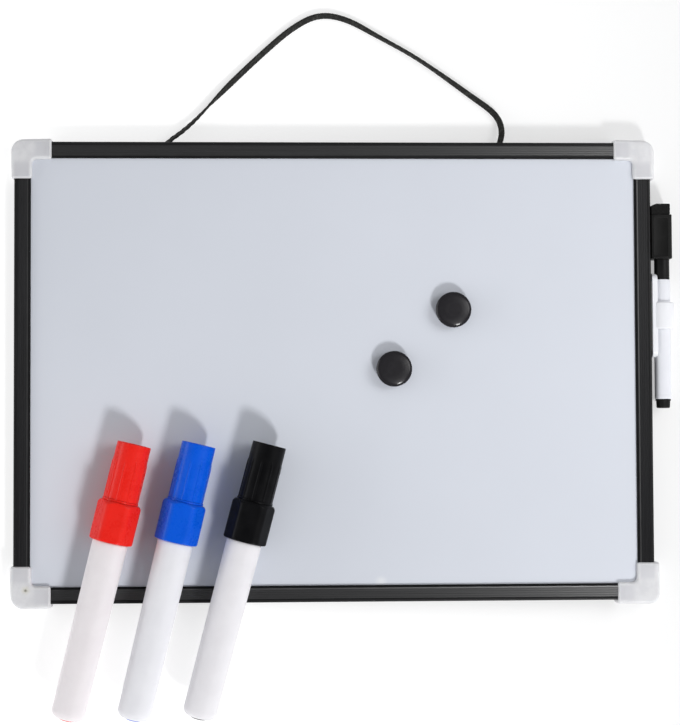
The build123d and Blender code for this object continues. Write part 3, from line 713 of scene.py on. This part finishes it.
def braid():
    """A tubular braid pressed flat: six yarns wind each way round a flat loop, over one and under one."""
    step = 0.4
    at, pos, tan, wide, thin = cord_frames(step)
    yarns, lay = 6, 12.0
    yarn_w, yarn_t, weave = 0.56, 0.21, 0.15      # half sizes of one flattened yarn, and how far it rises and dips
    half_w, half_t = BRAID_W / 2 - yarn_t - weave, BRAID_T / 2 - yarn_t - weave
    loop = 4 * (half_w - half_t) + 2 * math.pi * half_t
    verts, faces = [], []
    section = 8
    for way in (1, -1):
        for j in range(yarns):
            base = len(verts)
            centre, out_dir = [], []
            for i, s in enumerate(at):
                p = way * (s / lay) + j / yarns + (0.0 if way > 0 else 0.5 / yarns)
                (a, b), (na, nb) = stadium(p, half_w, half_t)
                over = way * math.cos(2 * math.pi * yarns * s / lay + math.pi * j) * weave
                a, b = a + na * over, b + nb * over
                centre.append(pos[i] + wide[i] * a + thin[i] * b)
                out_dir.append(wide[i] * na + thin[i] * nb)
            centre, out_dir = np.array(centre), np.array(out_dir)
            run = np.gradient(centre, axis=0)
            run /= np.linalg.norm(run, axis=1)[:, None]
            across = np.cross(out_dir, run)
            across /= np.linalg.norm(across, axis=1)[:, None]
            normal = np.cross(run, across)
            for i in range(len(at)):
                for k in range(section):
                    t = 2 * math.pi * k / section
                    q = centre[i] + across[i] * (yarn_w * math.cos(t)) + normal[i] * (yarn_t * math.sin(t))
                    verts.append(tuple(q))
            for i in range(len(at) - 1):
                for k in range(section):
                    a0, b0 = base + i * section + k, base + i * section + (k + 1) % section
                    faces.append((a0, b0, b0 + section, a0 + section))
            last = base + (len(at) - 1) * section
            faces.append(tuple(base + k for k in range(section)))
            faces.append(tuple(last + k for k in range(section)))
    # the dark filling that the yarns lie round
    base = len(verts)
    core = 12
    for i in range(len(at)):
        for k in range(core):
            t = 2 * math.pi * k / core
            q = pos[i] + wide[i] * ((half_w - 0.05) * math.cos(t)) + thin[i] * ((half_t + 0.02) * math.sin(t))
            verts.append(tuple(q))
    for i in range(len(at) - 1):
        for k in range(core):
            a0, b0 = base + i * core + k, base + i * core + (k + 1) % core
            faces.append((a0, b0, b0 + core, a0 + core))
    last = base + (len(at) - 1) * core
    faces.append(tuple(base + k for k in range(core)))
    faces.append(tuple(last + k for k in range(core)))
    return verts, faces


cord = make_object("hanging_cord_braid", *braid(), cord_mat, "board", ["hanging_cord"], "cord_black", angle=60)
for k in ("cord_knot_left", "cord_knot_right"):
    dress(k, cord_mat)

# ------------------------------------------------------------------ panel and rails
dress("writing_surface", enamel)
dress("core_panel", core_mat)
dress("back_sheet", back_mat)
dress("clip_adhesive_pad", foam_mat)


def rail_profile():
    """Section of a rail: u from the outside of the frame inwards, z up.  Raised bands along both edges, four ribs between them."""
    pts = [(0.0, 0.3), (0.0, rail_depth - 1.0)]
    pts += arc(1.0, rail_depth - 1.0, 1.0, 180, 90, 8)[1:]
    floor_z, first, pitch, lip = rail_depth - 0.3, 1.95, 1.27, rail_face - 0.25
    pts += [(1.62, rail_depth), (1.70, rail_depth - 0.03), (1.88, floor_z + 0.03)]
    for i in range(4):
        a = first + i * pitch
        n = 9
        for k in range(0 if i == 0 else 1, n + 1):
            t = 2 * k / n - 1
            pts.append((a + pitch * k / n, floor_z + 0.15 * math.sqrt(max(0.0, 1.0 - 0.92 * t * t)) - 0.15 * math.sqrt(0.08)))
    b = first + 4 * pitch
    pts += [(b + 0.05, floor_z + 0.01), (b + 0.12, floor_z + 0.03), (b + 0.68, rail_depth - 0.02), (b + 0.76, rail_depth),
            (b + 0.95, rail_depth),
            (lip - 0.25, rail_depth - 0.45), (lip - 0.08, rail_depth - 0.55), (lip, rail_depth - 0.7),
            (lip, face_z), (channel_u, face_z), (channel_u, back_lip), (rail_face, back_lip), (rail_face, 0.12),
            (rail_face - 0.12, 0.0), (0.3, 0.0), (0.09, 0.09)]
    return pts, (first, b, b + 0.68)


def rail(node, origin, across, length_dir, length, slots=(), band=rail_brushed):
    o3, a3, s3 = Vector(origin), Vector(across), Vector(length_dir)
    prof, (rib0, rib1, step1) = rail_profile()

    def at(u, s, z):
        return tuple(o3 + a3 * u + s3 * s + Vector((0, 0, z)))

    ob = scratch(node + "_extrusion", *rings_mesh([[at(u, s, z) for u, z in prof] for s in (0.0, length)], "flat", "flat"))
    lo, hi = at(rail_wall, -5, chamber_z0), at(rail_wall + chamber_w, length + 5, chamber_z1)
    boolean(ob, scratch("cutter", *box_mesh([min(i, j) for i, j in zip(lo, hi)], [max(i, j) for i, j in zip(lo, hi)])))
    for x, w, h, z in slots:
        r = h / 2 - 0.01
        corners = [(x - w / 2, z - h / 2, r), (x + w / 2, z - h / 2, r), (x + w / 2, z + h / 2, r), (x - w / 2, z + h / 2, r)]
        levels = [(y1 - rail_wall - 0.5, 0.0), (y1 - 0.25, 0.0), (y1 - 0.08, -0.08), (y1 + 0.02, -0.28), (y1 + 1.0, -0.28)]
        boolean(ob, scratch("cutter", *lofted(corners, levels, lambda a, b, hh: (a, hh, b), segs=10)))
    finish_object(ob, rail_mat, "board", [node], "rail_black", 28)
    me = ob.data
    me.materials.append(band)
    me.materials.append(rail_edge_painted_lit)
    me.materials.append(rail_lip_painted_dark)
    lay = me.uv_layers.new(name="lay")
    for poly in me.polygons:
        c = Vector(poly.center) / MM - o3
        u = c.dot(a3)
        if rib0 - 0.02 < u < rib1 + 0.02 and c.z > rail_depth - 0.4 and poly.normal.z > 0.4:
            poly.material_index = 1
        # the step facet takes the copy with the painted highlight
        elif rib1 < u < step1 + 0.05 and c.z > rail_depth - 0.4 and poly.normal.z > 0.4:
            poly.material_index = 2
        # the lip slope takes the copy with the painted shade
        elif u > step1 + 0.05 and c.z > face_z + 0.1:
            poly.material_index = 3
        for li in poly.loop_indices:
            q = Vector(me.vertices[me.loops[li].vertex_index].co) / MM - o3
            lay.data[li].uv = (q.dot(a3) * 0.01, q.dot(s3) * 0.01)
    return ob


rail_x, rail_y = frame_w - 2 * rail_cut, frame_h - 2 * rail_cut
rail("rail_bottom", (-rail_x / 2, y0, 0), (0, 1, 0), (1, 0, 0), rail_x)
rail("rail_top", (rail_x / 2, y1, 0), (0, -1, 0), (-1, 0, 0), rail_x, ((-94.8, 9.4, 4.6, 5.4), (92.7, 6.6, 4.6, 5.4)))
rail("rail_left", (-x1, y1 - rail_cut, 0), (1, 0, 0), (0, -1, 0), rail_y, band=rail_brushed_side)
rail("rail_right", (x1, y0 + rail_cut, 0), (-1, 0, 0), (0, 1, 0), rail_y, band=rail_brushed_side)


# ------------------------------------------------------------------ corner guards
def corner_guard(name, sx, sy, gate=False):
    cx, cy = sx * x1, (y1 if sy > 0 else y0)

    def at(u, v, z):
        return (cx - sx * u, cy - sy * v, z)

    w, a, g = rail_face + guard_in, guard_arm, guard_gap
    side, side_end, edge, edge_end, corner_r = guard_shapes[sx, sy]
    corners = [(-side, -edge, corner_r), (a, -edge_end, 1.1), (a, w, 1.3), (w, w, guard_inner_r), (w, a, 1.3), (-side_end, a, 1.1)]
    levels = [(0.0, 0.25), (0.07, 0.07), (0.25, 0.0), (4.0, 0.0), (8.0, 0.0), (10.4, 0.0)]
    r = 1.75
    levels += [(guard_top - 0.06 - r * (1 - math.sin(math.radians(t))), r * (1 - math.cos(math.radians(t))))
               for t in (8, 20, 33, 46, 58, 69, 79)]
    levels += [(guard_top - 0.045, 1.9), (guard_top, 3.1)]
    ob = scratch(name, *lofted(corners, levels, at, segs=10))

    def cut(lo, hi, flip=False, op="DIFFERENCE"):
        (ua, va, za), (ub, vb, zb) = lo, hi
        if flip:
            ua, va, ub, vb = va, ua, vb, ub
        p, q = at(ua, va, za), at(ub, vb, zb)
        box = box_mesh([min(i, j) for i, j in zip(p, q)], [max(i, j) for i, j in zip(p, q)])
        boolean(ob, scratch("cutter", *box), op)

    for flip in (False, True):
        cut((rail_cut - g, -g, -1), (a + 5, w + 1, face_z + g), flip)
        cut((rail_cut - g, -g, face_z - 0.5), (a + 5, rail_face + g, rail_depth + g), flip)
    cut((channel_u + 0.1, channel_u + 0.1, back_lip - g), (a + 5, a + 5, face_z + g))
    for flip in (False, True):
        cut((0.7, 0.7, -1), (rail_cut - 1.5, channel_u - 1.1, guard_top - 1.6), flip)
    for flip in (False, True):
        cut((rail_cut - 0.5, rail_wall + 0.1, chamber_z0 + 0.1),
            (guard_arm + 0.5, rail_wall + chamber_w - 0.1, chamber_z1 - 0.1), flip, "UNION")
    # two fine mould lines across each arm, near its end
    for flip in (False, True):
        for d, wide in ((1.75, 0.22), (3.3, 0.16)):
            cut((a - d - wide, -4, guard_top - 0.12), (a - d, w + 1, guard_top + 1), flip)
    if gate:
        c = Vector(at(7.0, 7.75, 0))
        t = math.radians(-42)
        pts = []
        for px, py in rounded_outline([(-1.0, -0.6, 0.59), (1.0, -0.6, 0.59), (1.0, 0.6, 0.59), (-1.0, 0.6, 0.59)], 0, 6):
            pts.append((c.x + px * math.cos(t) - py * math.sin(t), c.y + px * math.sin(t) + py * math.cos(t)))
        rings = [[(px, py, z) for px, py in pts] for z in (guard_top - 0.4, guard_top + 1)]
        boolean(ob, scratch("cutter", *rings_mesh(rings, "flat", "flat")))
    finish_object(ob, guard_mat, "board", [name.replace("_guard", "")], "guard_milky", 30)
    return ob


corner_guard("corner_top_left_guard", -1, 1)
corner_guard("corner_top_right_guard", 1, 1)
corner_guard("corner_bottom_left_guard", -1, -1, gate=True)
corner_guard("corner_bottom_right_guard", 1, -1)

# ------------------------------------------------------------------ button magnets
for side, (mx, my) in magnet_places.items():
    h = magnet_h
    prof = [(0.0, 0.0)]
    prof = [(4.2, 0.0), (4.2, 7.55), (4.05, 7.7), (0.12, 7.7), (0.0, 7.8), (0.0, 8.9), (0.06, 9.05), (0.5, 9.3),
            (2.6, 9.56)]
    # a rounded rim, then a low crown that flattens towards the middle
    rim, flat, lean = 7.6, 3.6, math.tan(math.radians(16.0))
    drop = lean * (rim - flat) / 2
    r0, z0, z1 = magnet_r, 4.8, h - 0.02 - drop
    for k in range(12):
        t = k / 12
        prof.append(((1 - t) ** 2 * z0 + 2 * t * (1 - t) * (z1 - lean * (r0 - rim)) + t * t * z1,
                     (1 - t) ** 2 * r0 + 2 * t * (1 - t) * r0 + t * t * rim))
    for k in range(39):
        r = rim * (1 - k / 38)
        z = h - 0.02 - drop * (max(0.0, r - flat) / (rim - flat)) ** 2
        z -= 0.012 * math.exp(-((r - 5.3) / 0.25) ** 2) + 0.012 * math.exp(-((r - 3.0) / 0.25) ** 2)
        z -= 0.02 * max(0.0, 1 - r / 1.3) ** 2
        prof.append((z, r))
    make_object("magnet_%s_cap_turned" % side,
                *lathe(prof, lambda s, a, b, mx=mx, my=my: (mx + a, my + b, face_z + s), 112),
                magnet_mats[side], "magnet_" + side, ["magnet_%s_cap" % side], "magnet_black", angle=40)
    dress("magnet_%s_disc" % side, ferrite_mat)


# ------------------------------------------------------------------ pen clip
def pen_place(y, a, b):
    # along the pen is +Y; a is +X and b is +Z from its axis
    return (pen_x + a, y, pen_z + b)


def rod(y_a, y_b, r, n=96):
    return lathe([(y_a, 0.0), (y_a, r), (y_b, r), (y_b, 0.0)], pen_place, n)


def pen_clip():
    cy, half = (clip_y0 + clip_y1) / 2, (clip_y1 - clip_y0) / 2
    corners = [(cy - half, pen_z - 4.7, 4.2), (cy + half, pen_z - 4.7, 4.2), (cy + half, pen_z + 4.7, 4.2), (cy - half, pen_z + 4.7, 4.2)]
    xa, xb = x1 + pad_t, 178.4
    ob = scratch("pen_clip_moulding", *lofted(corners, edge_levels(xa, xb, 0.25, 0.4, 4),
                                              lambda a, b, h: (h, a, b), segs=12))
    band = [(band_y0, 0.0)]
    band += [(band_y0 + 1.1 * (1 - math.sin(math.radians(90 - t))) , clip_band_r - 1.1 * (1 - math.cos(math.radians(90 - t)))) for t in range(0, 91, 15)]
    band += [(band_y1 - 1.1 * (1 - math.sin(math.radians(90 - t))), clip_band_r - 1.1 * (1 - math.cos(math.radians(90 - t)))) for t in range(90, -1, -15)]
    band += [(band_y1, 0.0)]
    ring = scratch("cutter", *lathe(band, pen_place, 112))
    boolean(ring, scratch("cutter", *box_mesh((150, band_y0 - 5, -20), (xa, band_y1 + 5, 40))))
    boolean(ob, ring, "UNION")
    boolean(ob, scratch("cutter", *rod(clip_y0 - 5, clip_y1 + 5, clip_bore, 112)))
    finish_object(ob, clip_white, "board", ["pen_clip"], "clip_white")
    return ob


pen_clip()

# ------------------------------------------------------------------ clip-on pen
b0, b1 = pen_barrel_y, pen_shoulder_y
prof = [(b0, 3.2), (b0, 4.15), (b0 + 0.06, 4.33), (b0 + 0.2, 4.47), (b0 + 0.45, 4.56), (b0 + 0.8, pen_r),
        (b0 + 1.9, pen_r), (b0 + 1.95, pen_r - 0.07), (b0 + 2.15, pen_r - 0.07), (b0 + 2.2, pen_r),
        (b0 + 20, pen_r), (b0 + 44, pen_r), (b1 - 0.35, pen_r), (b1 - 0.12, pen_r - 0.06), (b1, pen_r - 0.2),
        (b1, 3.65), (b1 + 6.8, 3.65), (b1 + 7.0, 3.45), (b1 + 7.0, 3.2)]
make_object("clip_pen_barrel_tube", *lathe(prof, pen_place), pen_white, "clip_pen_body", ["clip_pen_barrel"], "barrel_white", angle=40)
t0 = pen_tail_y
prof = [(t0, 0.0), (t0, 2.85), (t0 + 0.05, 3.2), (t0 + 0.2, 3.47), (t0 + 0.45, 3.65), (t0 + 0.8, 3.73),
        (b0 - 1.3, 3.86), (b0 - 1.15, 3.86), (b0 - 1.05, 3.92), (b0 - 0.95, 4.1), (b0 - 0.8, 4.2), (b0 - 0.02, 4.2), (b0, 4.18),
        (b0, 3.1), (b0 + 5.0, 3.1), (b0 + 5.0, 0.0)]
# the end plug's grip: eight shallow flats
make_object("clip_pen_end_plug_turned",
            *lathe(prof, pen_place, 96, lambda s, t: 1 - (0.035 * max(0.0, math.cos(8 * t)) ** 4 if t0 + 0.9 < s < b0 - 1.25 else 0.0)),
            pen_black, "clip_pen_body", ["clip_pen_end_plug"], "cap_black", angle=40)
dress("clip_pen_section", section_mat)
dress("clip_pen_nib", nib_mats["black"])
dress("clip_pen_reservoir", reservoir_mat)


def pen_cap():
    cx, hw, hd = (block_x0 + block_x1) / 2, (block_x1 - block_x0) / 2, block_d / 2
    corners = [(cx - hw, pen_z - hd, 1.2), (cx + hw, pen_z - hd, 1.2), (cx + hw, pen_z + hd, 1.2), (cx - hw, pen_z + hd, 1.2)]
    ob = scratch("clip_pen_cap_moulding", *lofted(corners, edge_levels(pen_block_y, pen_block_top, 0.65, 0.5, 5),
                                                  lambda a, b, h: (a, h, b), segs=8))
    # shallow framed panel on the front
    panel = [(cx - hw + 0.9, pen_block_y + 1.3, 0.6), (cx + hw - 2.4, pen_block_y + 1.3, 0.6),
             (cx + hw - 2.4, pen_block_top - 1.7, 0.6), (cx - hw + 0.9, pen_block_top - 1.7, 0.6)]
    z = pen_z + hd
    levels = [(z - 0.3, 0.22), (z - 0.24, 0.08), (z - 0.12, 0.0), (z + 1.0, 0.0)]
    boolean(ob, scratch("cutter", *lofted(panel, levels, lambda a, b, h: (a, b, h), segs=6)))
    sk = pen_skirt_r
    y = pen_shoulder_y + 0.1
    skirt = [(y, 0.0), (y, sk - 0.3), (y + 0.08, sk - 0.1), (y + 0.28, sk), (y + 1.5, sk), (y + 1.55, sk - 0.1), (y + 1.8, sk - 0.1),
             (y + 1.85, sk), (pen_block_y + 0.6, sk), (pen_block_y + 0.6, 0.0)]
    boolean(ob, scratch("cutter", *lathe(skirt, pen_place)), "UNION")
    for ya, yb, r in ((pen_shoulder_y - 2, pen_shoulder_y + 8.4, 3.75), (pen_shoulder_y + 2.8, pen_shoulder_y + 12.8, 3.7),
                      (pen_shoulder_y + 3, pen_shoulder_y + 20.5, 2.9)):
        boolean(ob, scratch("cutter", *rod(ya, yb, r)))
    boolean(ob, scratch("cutter", *box_mesh((block_x0 + 1.3, pen_block_top - 2.0, pen_z - hd + 1.5),
                                            (block_x1 - 1.7, pen_block_top + 3, pen_z + hd - 1.5))))
    finish_object(ob, pen_black, "clip_pen_cap_body", ["clip_pen_cap"], "cap_black")


pen_cap()


def felt_block():
    """The eraser felt: a dense pad with a cut corner, fuzzy faces and a tongue in the holder."""
    xa, xb = block_x0 + 0.1, block_x1 - 0.9
    ya, yb = pen_block_top + 0.05, pen_top_y
    za, zb = pen_z - block_d / 2 + 0.4, pen_z + block_d / 2 - 0.4
    outline = [(xa, ya), (xb, ya), (xb, yb - 0.35), (xb - 0.35, yb), (xa + 2.5, yb), (xa + 2.1, yb - 0.10), (xa, yb - 0.95)]
    bm = bmesh.new()
    ring0 = [bm.verts.new((x, y, za)) for x, y in outline]
    f = bm.faces.new(ring0)
    up = bmesh.ops.extrude_face_region(bm, geom=[f])
    for v in [g for g in up["geom"] if isinstance(g, bmesh.types.BMVert)]:
        v.co.z = zb
    bmesh.ops.recalc_face_normals(bm, faces=bm.faces)
    bmesh.ops.triangulate(bm, faces=bm.faces)
    me = bpy.data.meshes.new("felt")
    bm.to_mesh(me)
    bm.free()
    ob = bpy.data.objects.new("clip_pen_eraser_felt_pad", me)
    scene.collection.objects.link(ob)
    rm = ob.modifiers.new("r", "REMESH")
    rm.mode, rm.voxel_size = "VOXEL", 0.22
    bpy.context.view_layer.update()
    me = bpy.data.meshes.new_from_object(ob.evaluated_get(bpy.context.evaluated_depsgraph_get()))
    ob.modifiers.clear()
    ob.data = me
    normals = [v.normal.copy() for v in me.vertices]
    for v, n in zip(me.vertices, normals):
        p = Vector(v.co)
        a = noise.noise(p * 1.9) * 0.10 + noise.noise(p * 5.0 + Vector((7, 3, 1))) * 0.055
        v.co = p + n * (a - 0.12)
    tongue = box_mesh((block_x0 + 1.4, pen_block_top - 1.9, pen_z - block_d / 2 + 1.6),
                      (block_x1 - 1.8, pen_block_top + 0.6, pen_z + block_d / 2 - 1.6))
    boolean(ob, scratch("cutter", *tongue), "UNION")
    finish_object(ob, felt_mat, "clip_pen_cap_body", ["clip_pen_eraser_felt"], "felt_black", 60)


felt_block()


# ------------------------------------------------------------------ loose markers
def hexagon(t, apothem, r):
    """Radius at angle t of a rounded hexagon with a corner at angle 0."""
    step = math.pi / 3
    corner = abs((t + step / 2) % step - step / 2)         # from the nearest corner
    side_phi = step / 2 - corner                            # from the nearest side's middle
    flat_half = (apothem - r) * math.tan(step / 2)
    if side_phi <= math.atan2(flat_half, apothem):
        return apothem / math.cos(side_phi)
    d = (apothem - r) / math.cos(step / 2)
    return d * math.cos(corner) + math.sqrt(max(0.0, r * r - (d * math.sin(corner)) ** 2))


def marker(colour, cap_end, lean):
    t = math.radians(lean)
    ux, uy = math.sin(t), math.cos(t)
    tail = (cap_end[0] - ux * marker_len, cap_end[1] - uy * marker_len)

    def place(s, a, b):
        # a runs to the right across the marker, b up
        return (tail[0] + ux * s + uy * a, tail[1] + uy * s - ux * a, marker_z + b)

    sh, tr, fr = marker_shoulder, marker_tail_r, marker_front_r
    slope = (fr - tr) / (sh - 5.4)
    prof = [(2.6, 4.6), (0.98, 4.6), (0.9, 4.72)]
    prof += [(5.4 - 4.5 * math.cos(math.radians(a)), tr - 4.5 + 4.5 * math.sin(math.radians(a))) for a in range(6, 91, 7)]
    prof += [(s, tr + slope * (s - 5.4)) for s in (12, 24, 36, 48, 60, 72, 84, 94)]
    prof += [(sh - 0.5, fr), (sh - 0.22, fr - 0.05), (sh - 0.06, fr - 0.16), (sh, fr - 0.35), (sh, 8.75), (sh + 0.06, 8.7),
             (sh + 13.4, 8.7), (sh + 13.75, 8.6), (sh + 14.0, 8.35), (sh + 14.0, 7.9), (6.0, 7.9), (2.6, 6.6)]
    make_object("marker_%s_barrel_tube" % colour, *lathe(prof, place, 96), barrel_mats[colour],
                "marker_" + colour, ["marker_%s_barrel" % colour], "barrel_white", angle=38)

    prof = [(0.0, 0.0), (0.02, 1.2), (0.1, 2.4), (0.25, 3.4), (0.48, 4.1), (0.62, 4.32), (0.9, 4.48), (1.1, 4.5), (6.15, 4.5),
            (6.15, 7.6), (6.3, 7.7), (7.8, 7.7), (7.9, 7.6), (7.9, 6.4), (12.0, 6.2), (12.0, 0.0)]
    make_object("marker_%s_tail_plug_turned" % colour, *lathe(prof, place, 80), cap_mats[colour],
                "marker_" + colour, ["marker_%s_tail_plug" % colour], "cap_" + colour, angle=40)

    # cap: rings along the axis; each ring is round, hexagonal or ribbed
    c0, c1, end, cr = sh + 0.15, sh + 22.0, marker_len, marker_cap_r
    n = 240
    ang = [2 * math.pi * k / n for k in range(n)]
    hexa = [hexagon(a, marker_collar_af / 2, marker_collar_round) for a in ang]
    rings = []

    def add_ring(s, radii):
        rings.append([place(s, r * math.cos(a), r * math.sin(a)) for a, r in zip(ang, radii)])

    # collar with a rounded mouth and a sloping, rounded shoulder (a turned shape cuts the hexagon)
    collar = [(0.0, 10.3, 0.0), (0.0, 10.9, 0.04), (0.12, 11.25, 0.02), (0.35, 11.6, 0.0), (0.75, 11.86, 0.0), (1.2, 12.0, 0.0),
              (2.5, 12.4, 0.0), (6.0, 12.4, 0.0), (12.0, 12.4, 0.0), (17.0, 12.4, 0.0)]
    shoulder = [(c1 - c0 - 3.4 + 3.4 * math.sin(math.radians(a)), 12.05 - 2.2 * (1 - math.cos(math.radians(a)))) for a in range(0, 91, 9)]
    for s, r, soft in collar:
        add_ring(c0 + s, [min(h - soft, r) if r < 12.3 else h for h in hexa])
    for s, r in shoulder:
        lim = [min(h, r) for h in hexa]
        add_ring(c0 + s, lim)
    # step ring
    for s, r in ((c1 + 0.02, 9.86), (c1 + 0.06, 9.80), (c1 + 0.3, 9.78), (c1 + 0.36, 9.88), (c1 + 0.45, 9.93), (c1 + 0.8, 9.93),
                 (c1 + 0.98, 9.88), (c1 + 1.1, 9.74), (c1 + 1.2, 9.5)):
        add_ring(s, [r] * n)

    # upper tube with ten fine ribs that run out towards the rim
    def tube_r(s):
        return 9.35 + (cr - 9.35) * (s - c1 - 1.2) / (end - 0.35 - c1 - 1.2)

    def rib(a, s):
        k = 2 * math.pi / 10
        first = math.radians(27)
        d = ((a - first + k / 2) % k) - k / 2
        x = abs(d) * 9.4                       # mm from the rib's middle line
        top = 9.75 + (9.6 - 9.75) * (s - c1 - 1.3) / (end - 11.0 - c1 - 1.3)
        if s > end - 11.0:
            top = 9.6 + (9.12 - 9.6) * (s - end + 11.0) / 2.9
        high = max(0.0, min(9.625, top) - tube_r(s))
        w = 0.52
        if x >= w:
            return 0.0
        return high * (1 - (x / w) ** 2.6) ** 0.6

    stations = [c1 + 1.25, c1 + 1.5, c1 + 3] + [c1 + 3 + (end - 11.0 - c1 - 3) * i / 6 for i in range(1, 7)]
    stations += [end - 10.2, end - 9.4, end - 8.7, end - 8.25, end - 8.0, end - 6.0, end - 3.0, end - 1.2]
    for s in stations:
        add_ring(s, [tube_r(s) + (rib(a, s) if s < end - 8.05 else 0.0) for a in ang])
    for s, r in ((end - 0.45, cr), (end - 0.2, cr - 0.04), (end - 0.06, cr - 0.13), (end, cr - 0.3), (end, cr - 0.75),
                 (end - 0.05, cr - 0.9), (end - 0.25, cr - 1.06), (end - 0.6, cr - 1.15), (end - 3.0, cr - 1.32), (end - 3.15, cr - 1.45),
                 (end - 3.2, cr - 1.7), (end - 3.2, 6.2), (end - 3.15, 5.95), (end - 2.95, 5.78), (end - 2.6, 5.66), (end - 1.6, 5.42),
                 (end - 1.35, 5.36), (end - 1.18, 5.22), (end - 1.1, 5.0), (end - 1.08, 2.5), (end - 1.06, 0.6)):
        add_ring(s, [r] * n)
    outer = rings
    # inside, from the blind end back to the mouth
    inner = []
    for s, r in ((end - 6.4, 0.6), (end - 6.4, 5.2), (end - 6.7, 5.6), (end - 8.0, 7.2), (sh + 17.2, 7.42), (sh + 16.6, 7.5), (sh + 16.2, 7.9),
                 (sh + 15.9, 8.75), (sh + 15.6, 8.8), (c0 + 0.25, 8.8), (c0, 8.9)):
        inner.append([place(s, r * math.cos(a), r * math.sin(a)) for a in ang])
    m = len(outer)
    all_rings = outer + inner
    verts = [p for ring in all_rings for p in ring]
    faces = []
    for i in list(range(m - 1)) + list(range(m, m + len(inner) - 1)):
        for k in range(n):
            a0, b0 = i * n + k, i * n + (k + 1) % n
            faces.append((a0, b0, b0 + n, a0 + n))
    for i in (m - 1, m):
        verts.append(place(end - 1.06 if i == m - 1 else end - 6.4, 0, 0))
        for k in range(n):
            faces.append((i * n + k, i * n + (k + 1) % n, len(verts) - 1))
    last = (m + len(inner) - 1) * n
    for k in range(n):
        faces.append((last + k, last + (k + 1) % n, (k + 1) % n, k))
    make_object("marker_%s_cap_moulding" % colour, verts, faces, cap_mats[colour], "marker_%s_cap_body" % colour,
                ["marker_%s_cap" % colour], "cap_" + colour, angle=35)
    dress("marker_%s_section" % colour, section_mat)
    dress("marker_%s_nib" % colour, nib_mats[colour])
    dress("marker_%s_reservoir" % colour, reservoir_mat)


for colour, (cap_end, lean) in marker_places.items():
    marker(colour, cap_end, lean)

# ------------------------------------------------------------------ floor and light
bm = bmesh.new()
ringv = []
for r in (0.0, 0.6, 2.0, 6.0):
    if r == 0:
        ringv.append([bm.verts.new((0, 0.12, -0.0004))])
        continue
    ringv.append([bm.verts.new((r * math.cos(math.tau * k / 64), 0.12 + r * math.sin(math.tau * k / 64), -0.0004)) for k in range(64)])
for k in range(64):
    bm.faces.new((ringv[0][0], ringv[1][k], ringv[1][(k + 1) % 64]))
    for i in (1, 2):
        bm.faces.new((ringv[i][k], ringv[i + 1][k], ringv[i + 1][(k + 1) % 64], ringv[i][(k + 1) % 64]))
floor_mesh = bpy.data.meshes.new("floor")
bm.to_mesh(floor_mesh)
bm.free()
floor = bpy.data.objects.new("floor", floor_mesh)
scene.collection.objects.link(floor)
# a light table that glows a little more on the side away from the key light,
# so that it's evenly pale and nowhere brighter than white
s = Shader("floor_pale", Roughness=0.9, Specular_IOR_Level=0.1, Emission_Strength=1.0)
s.set("Emission Color", s.span(s.xyz()[0], -0.22, 0.22, 0.74, 0.37, smooth=False))
s.set("Base Color", s.mix(s.span(s.noise(3.0, 3.0), 0.3, 0.7), (0.51, 0.51, 0.51), (0.53, 0.53, 0.53)))
floor.data.materials.append(s.mat)

world = bpy.data.worlds.new("studio")
scene.world = world
world.use_nodes = True
wt = world.node_tree
wt.nodes.clear()
w_out = wt.nodes.new("ShaderNodeOutputWorld")
w_bg = wt.nodes.new("ShaderNodeBackground")
w_co = wt.nodes.new("ShaderNodeTexCoord")
w_sep = wt.nodes.new("ShaderNodeSeparateXYZ")
w_ramp = wt.nodes.new("ShaderNodeValToRGB")
wt.links.new(w_co.outputs["Generated"], w_sep.inputs[0])
wt.links.new(w_sep.outputs[2], w_ramp.inputs[0])
# a soft band of light all round, half way up the sky, and a dim zenith so that
# level black surfaces stay black from above
sky = ((0.0, 0.30), (0.25, 0.39), (0.55, 0.62), (0.80, 0.40), (0.93, 0.14), (1.0, 0.09))
stops = w_ramp.color_ramp.elements
for i, (z, level) in enumerate(sky):
    stop = stops[i] if i < 2 else stops.new(z)
    stop.position = z
    stop.color = (level, level, level, 1.0)
wt.links.new(w_ramp.outputs["Color"], w_bg.inputs["Strength"])
w_bg.inputs["Color"].default_value = (0.98, 0.99, 1.0, 1.0)
wt.links.new(w_bg.outputs[0], w_out.inputs[0])


def area(name, at, look, size, power, colour=(1, 1, 1)):
    d = bpy.data.lights.new(name, "AREA")
    d.shape = "ELLIPSE" if hasattr(size, "__len__") else "DISK"
    if d.shape == "ELLIPSE":
        d.size, d.size_y = size
    else:
        d.size = size
    d.energy = power
    d.color = colour
    o = bpy.data.objects.new(name, d)
    o.location = at
    o.rotation_euler = (Vector(look) - Vector(at)).to_track_quat("-Z", "Y").to_euler()
    scene.collection.objects.link(o)
    return o


area("key", (0.741, -1.341, 1.482), (0.05, 0.14, 0.0), 0.36, 27.0)
area("fill", (0.60, 0.30, 0.60), (0.0, 0.12, 0.0), 0.5, 2.4)
area("side", (-2.0, 0.05, 0.42), (0.0, 0.10, 0.0), (3.0, 0.7), 18.5)

scene.view_settings.view_transform = "Standard"
scene.view_settings.look = "None"
scene.view_settings.exposure = 0.0
scene.view_settings.gamma = 1.0

bpy.context.view_layer.update()
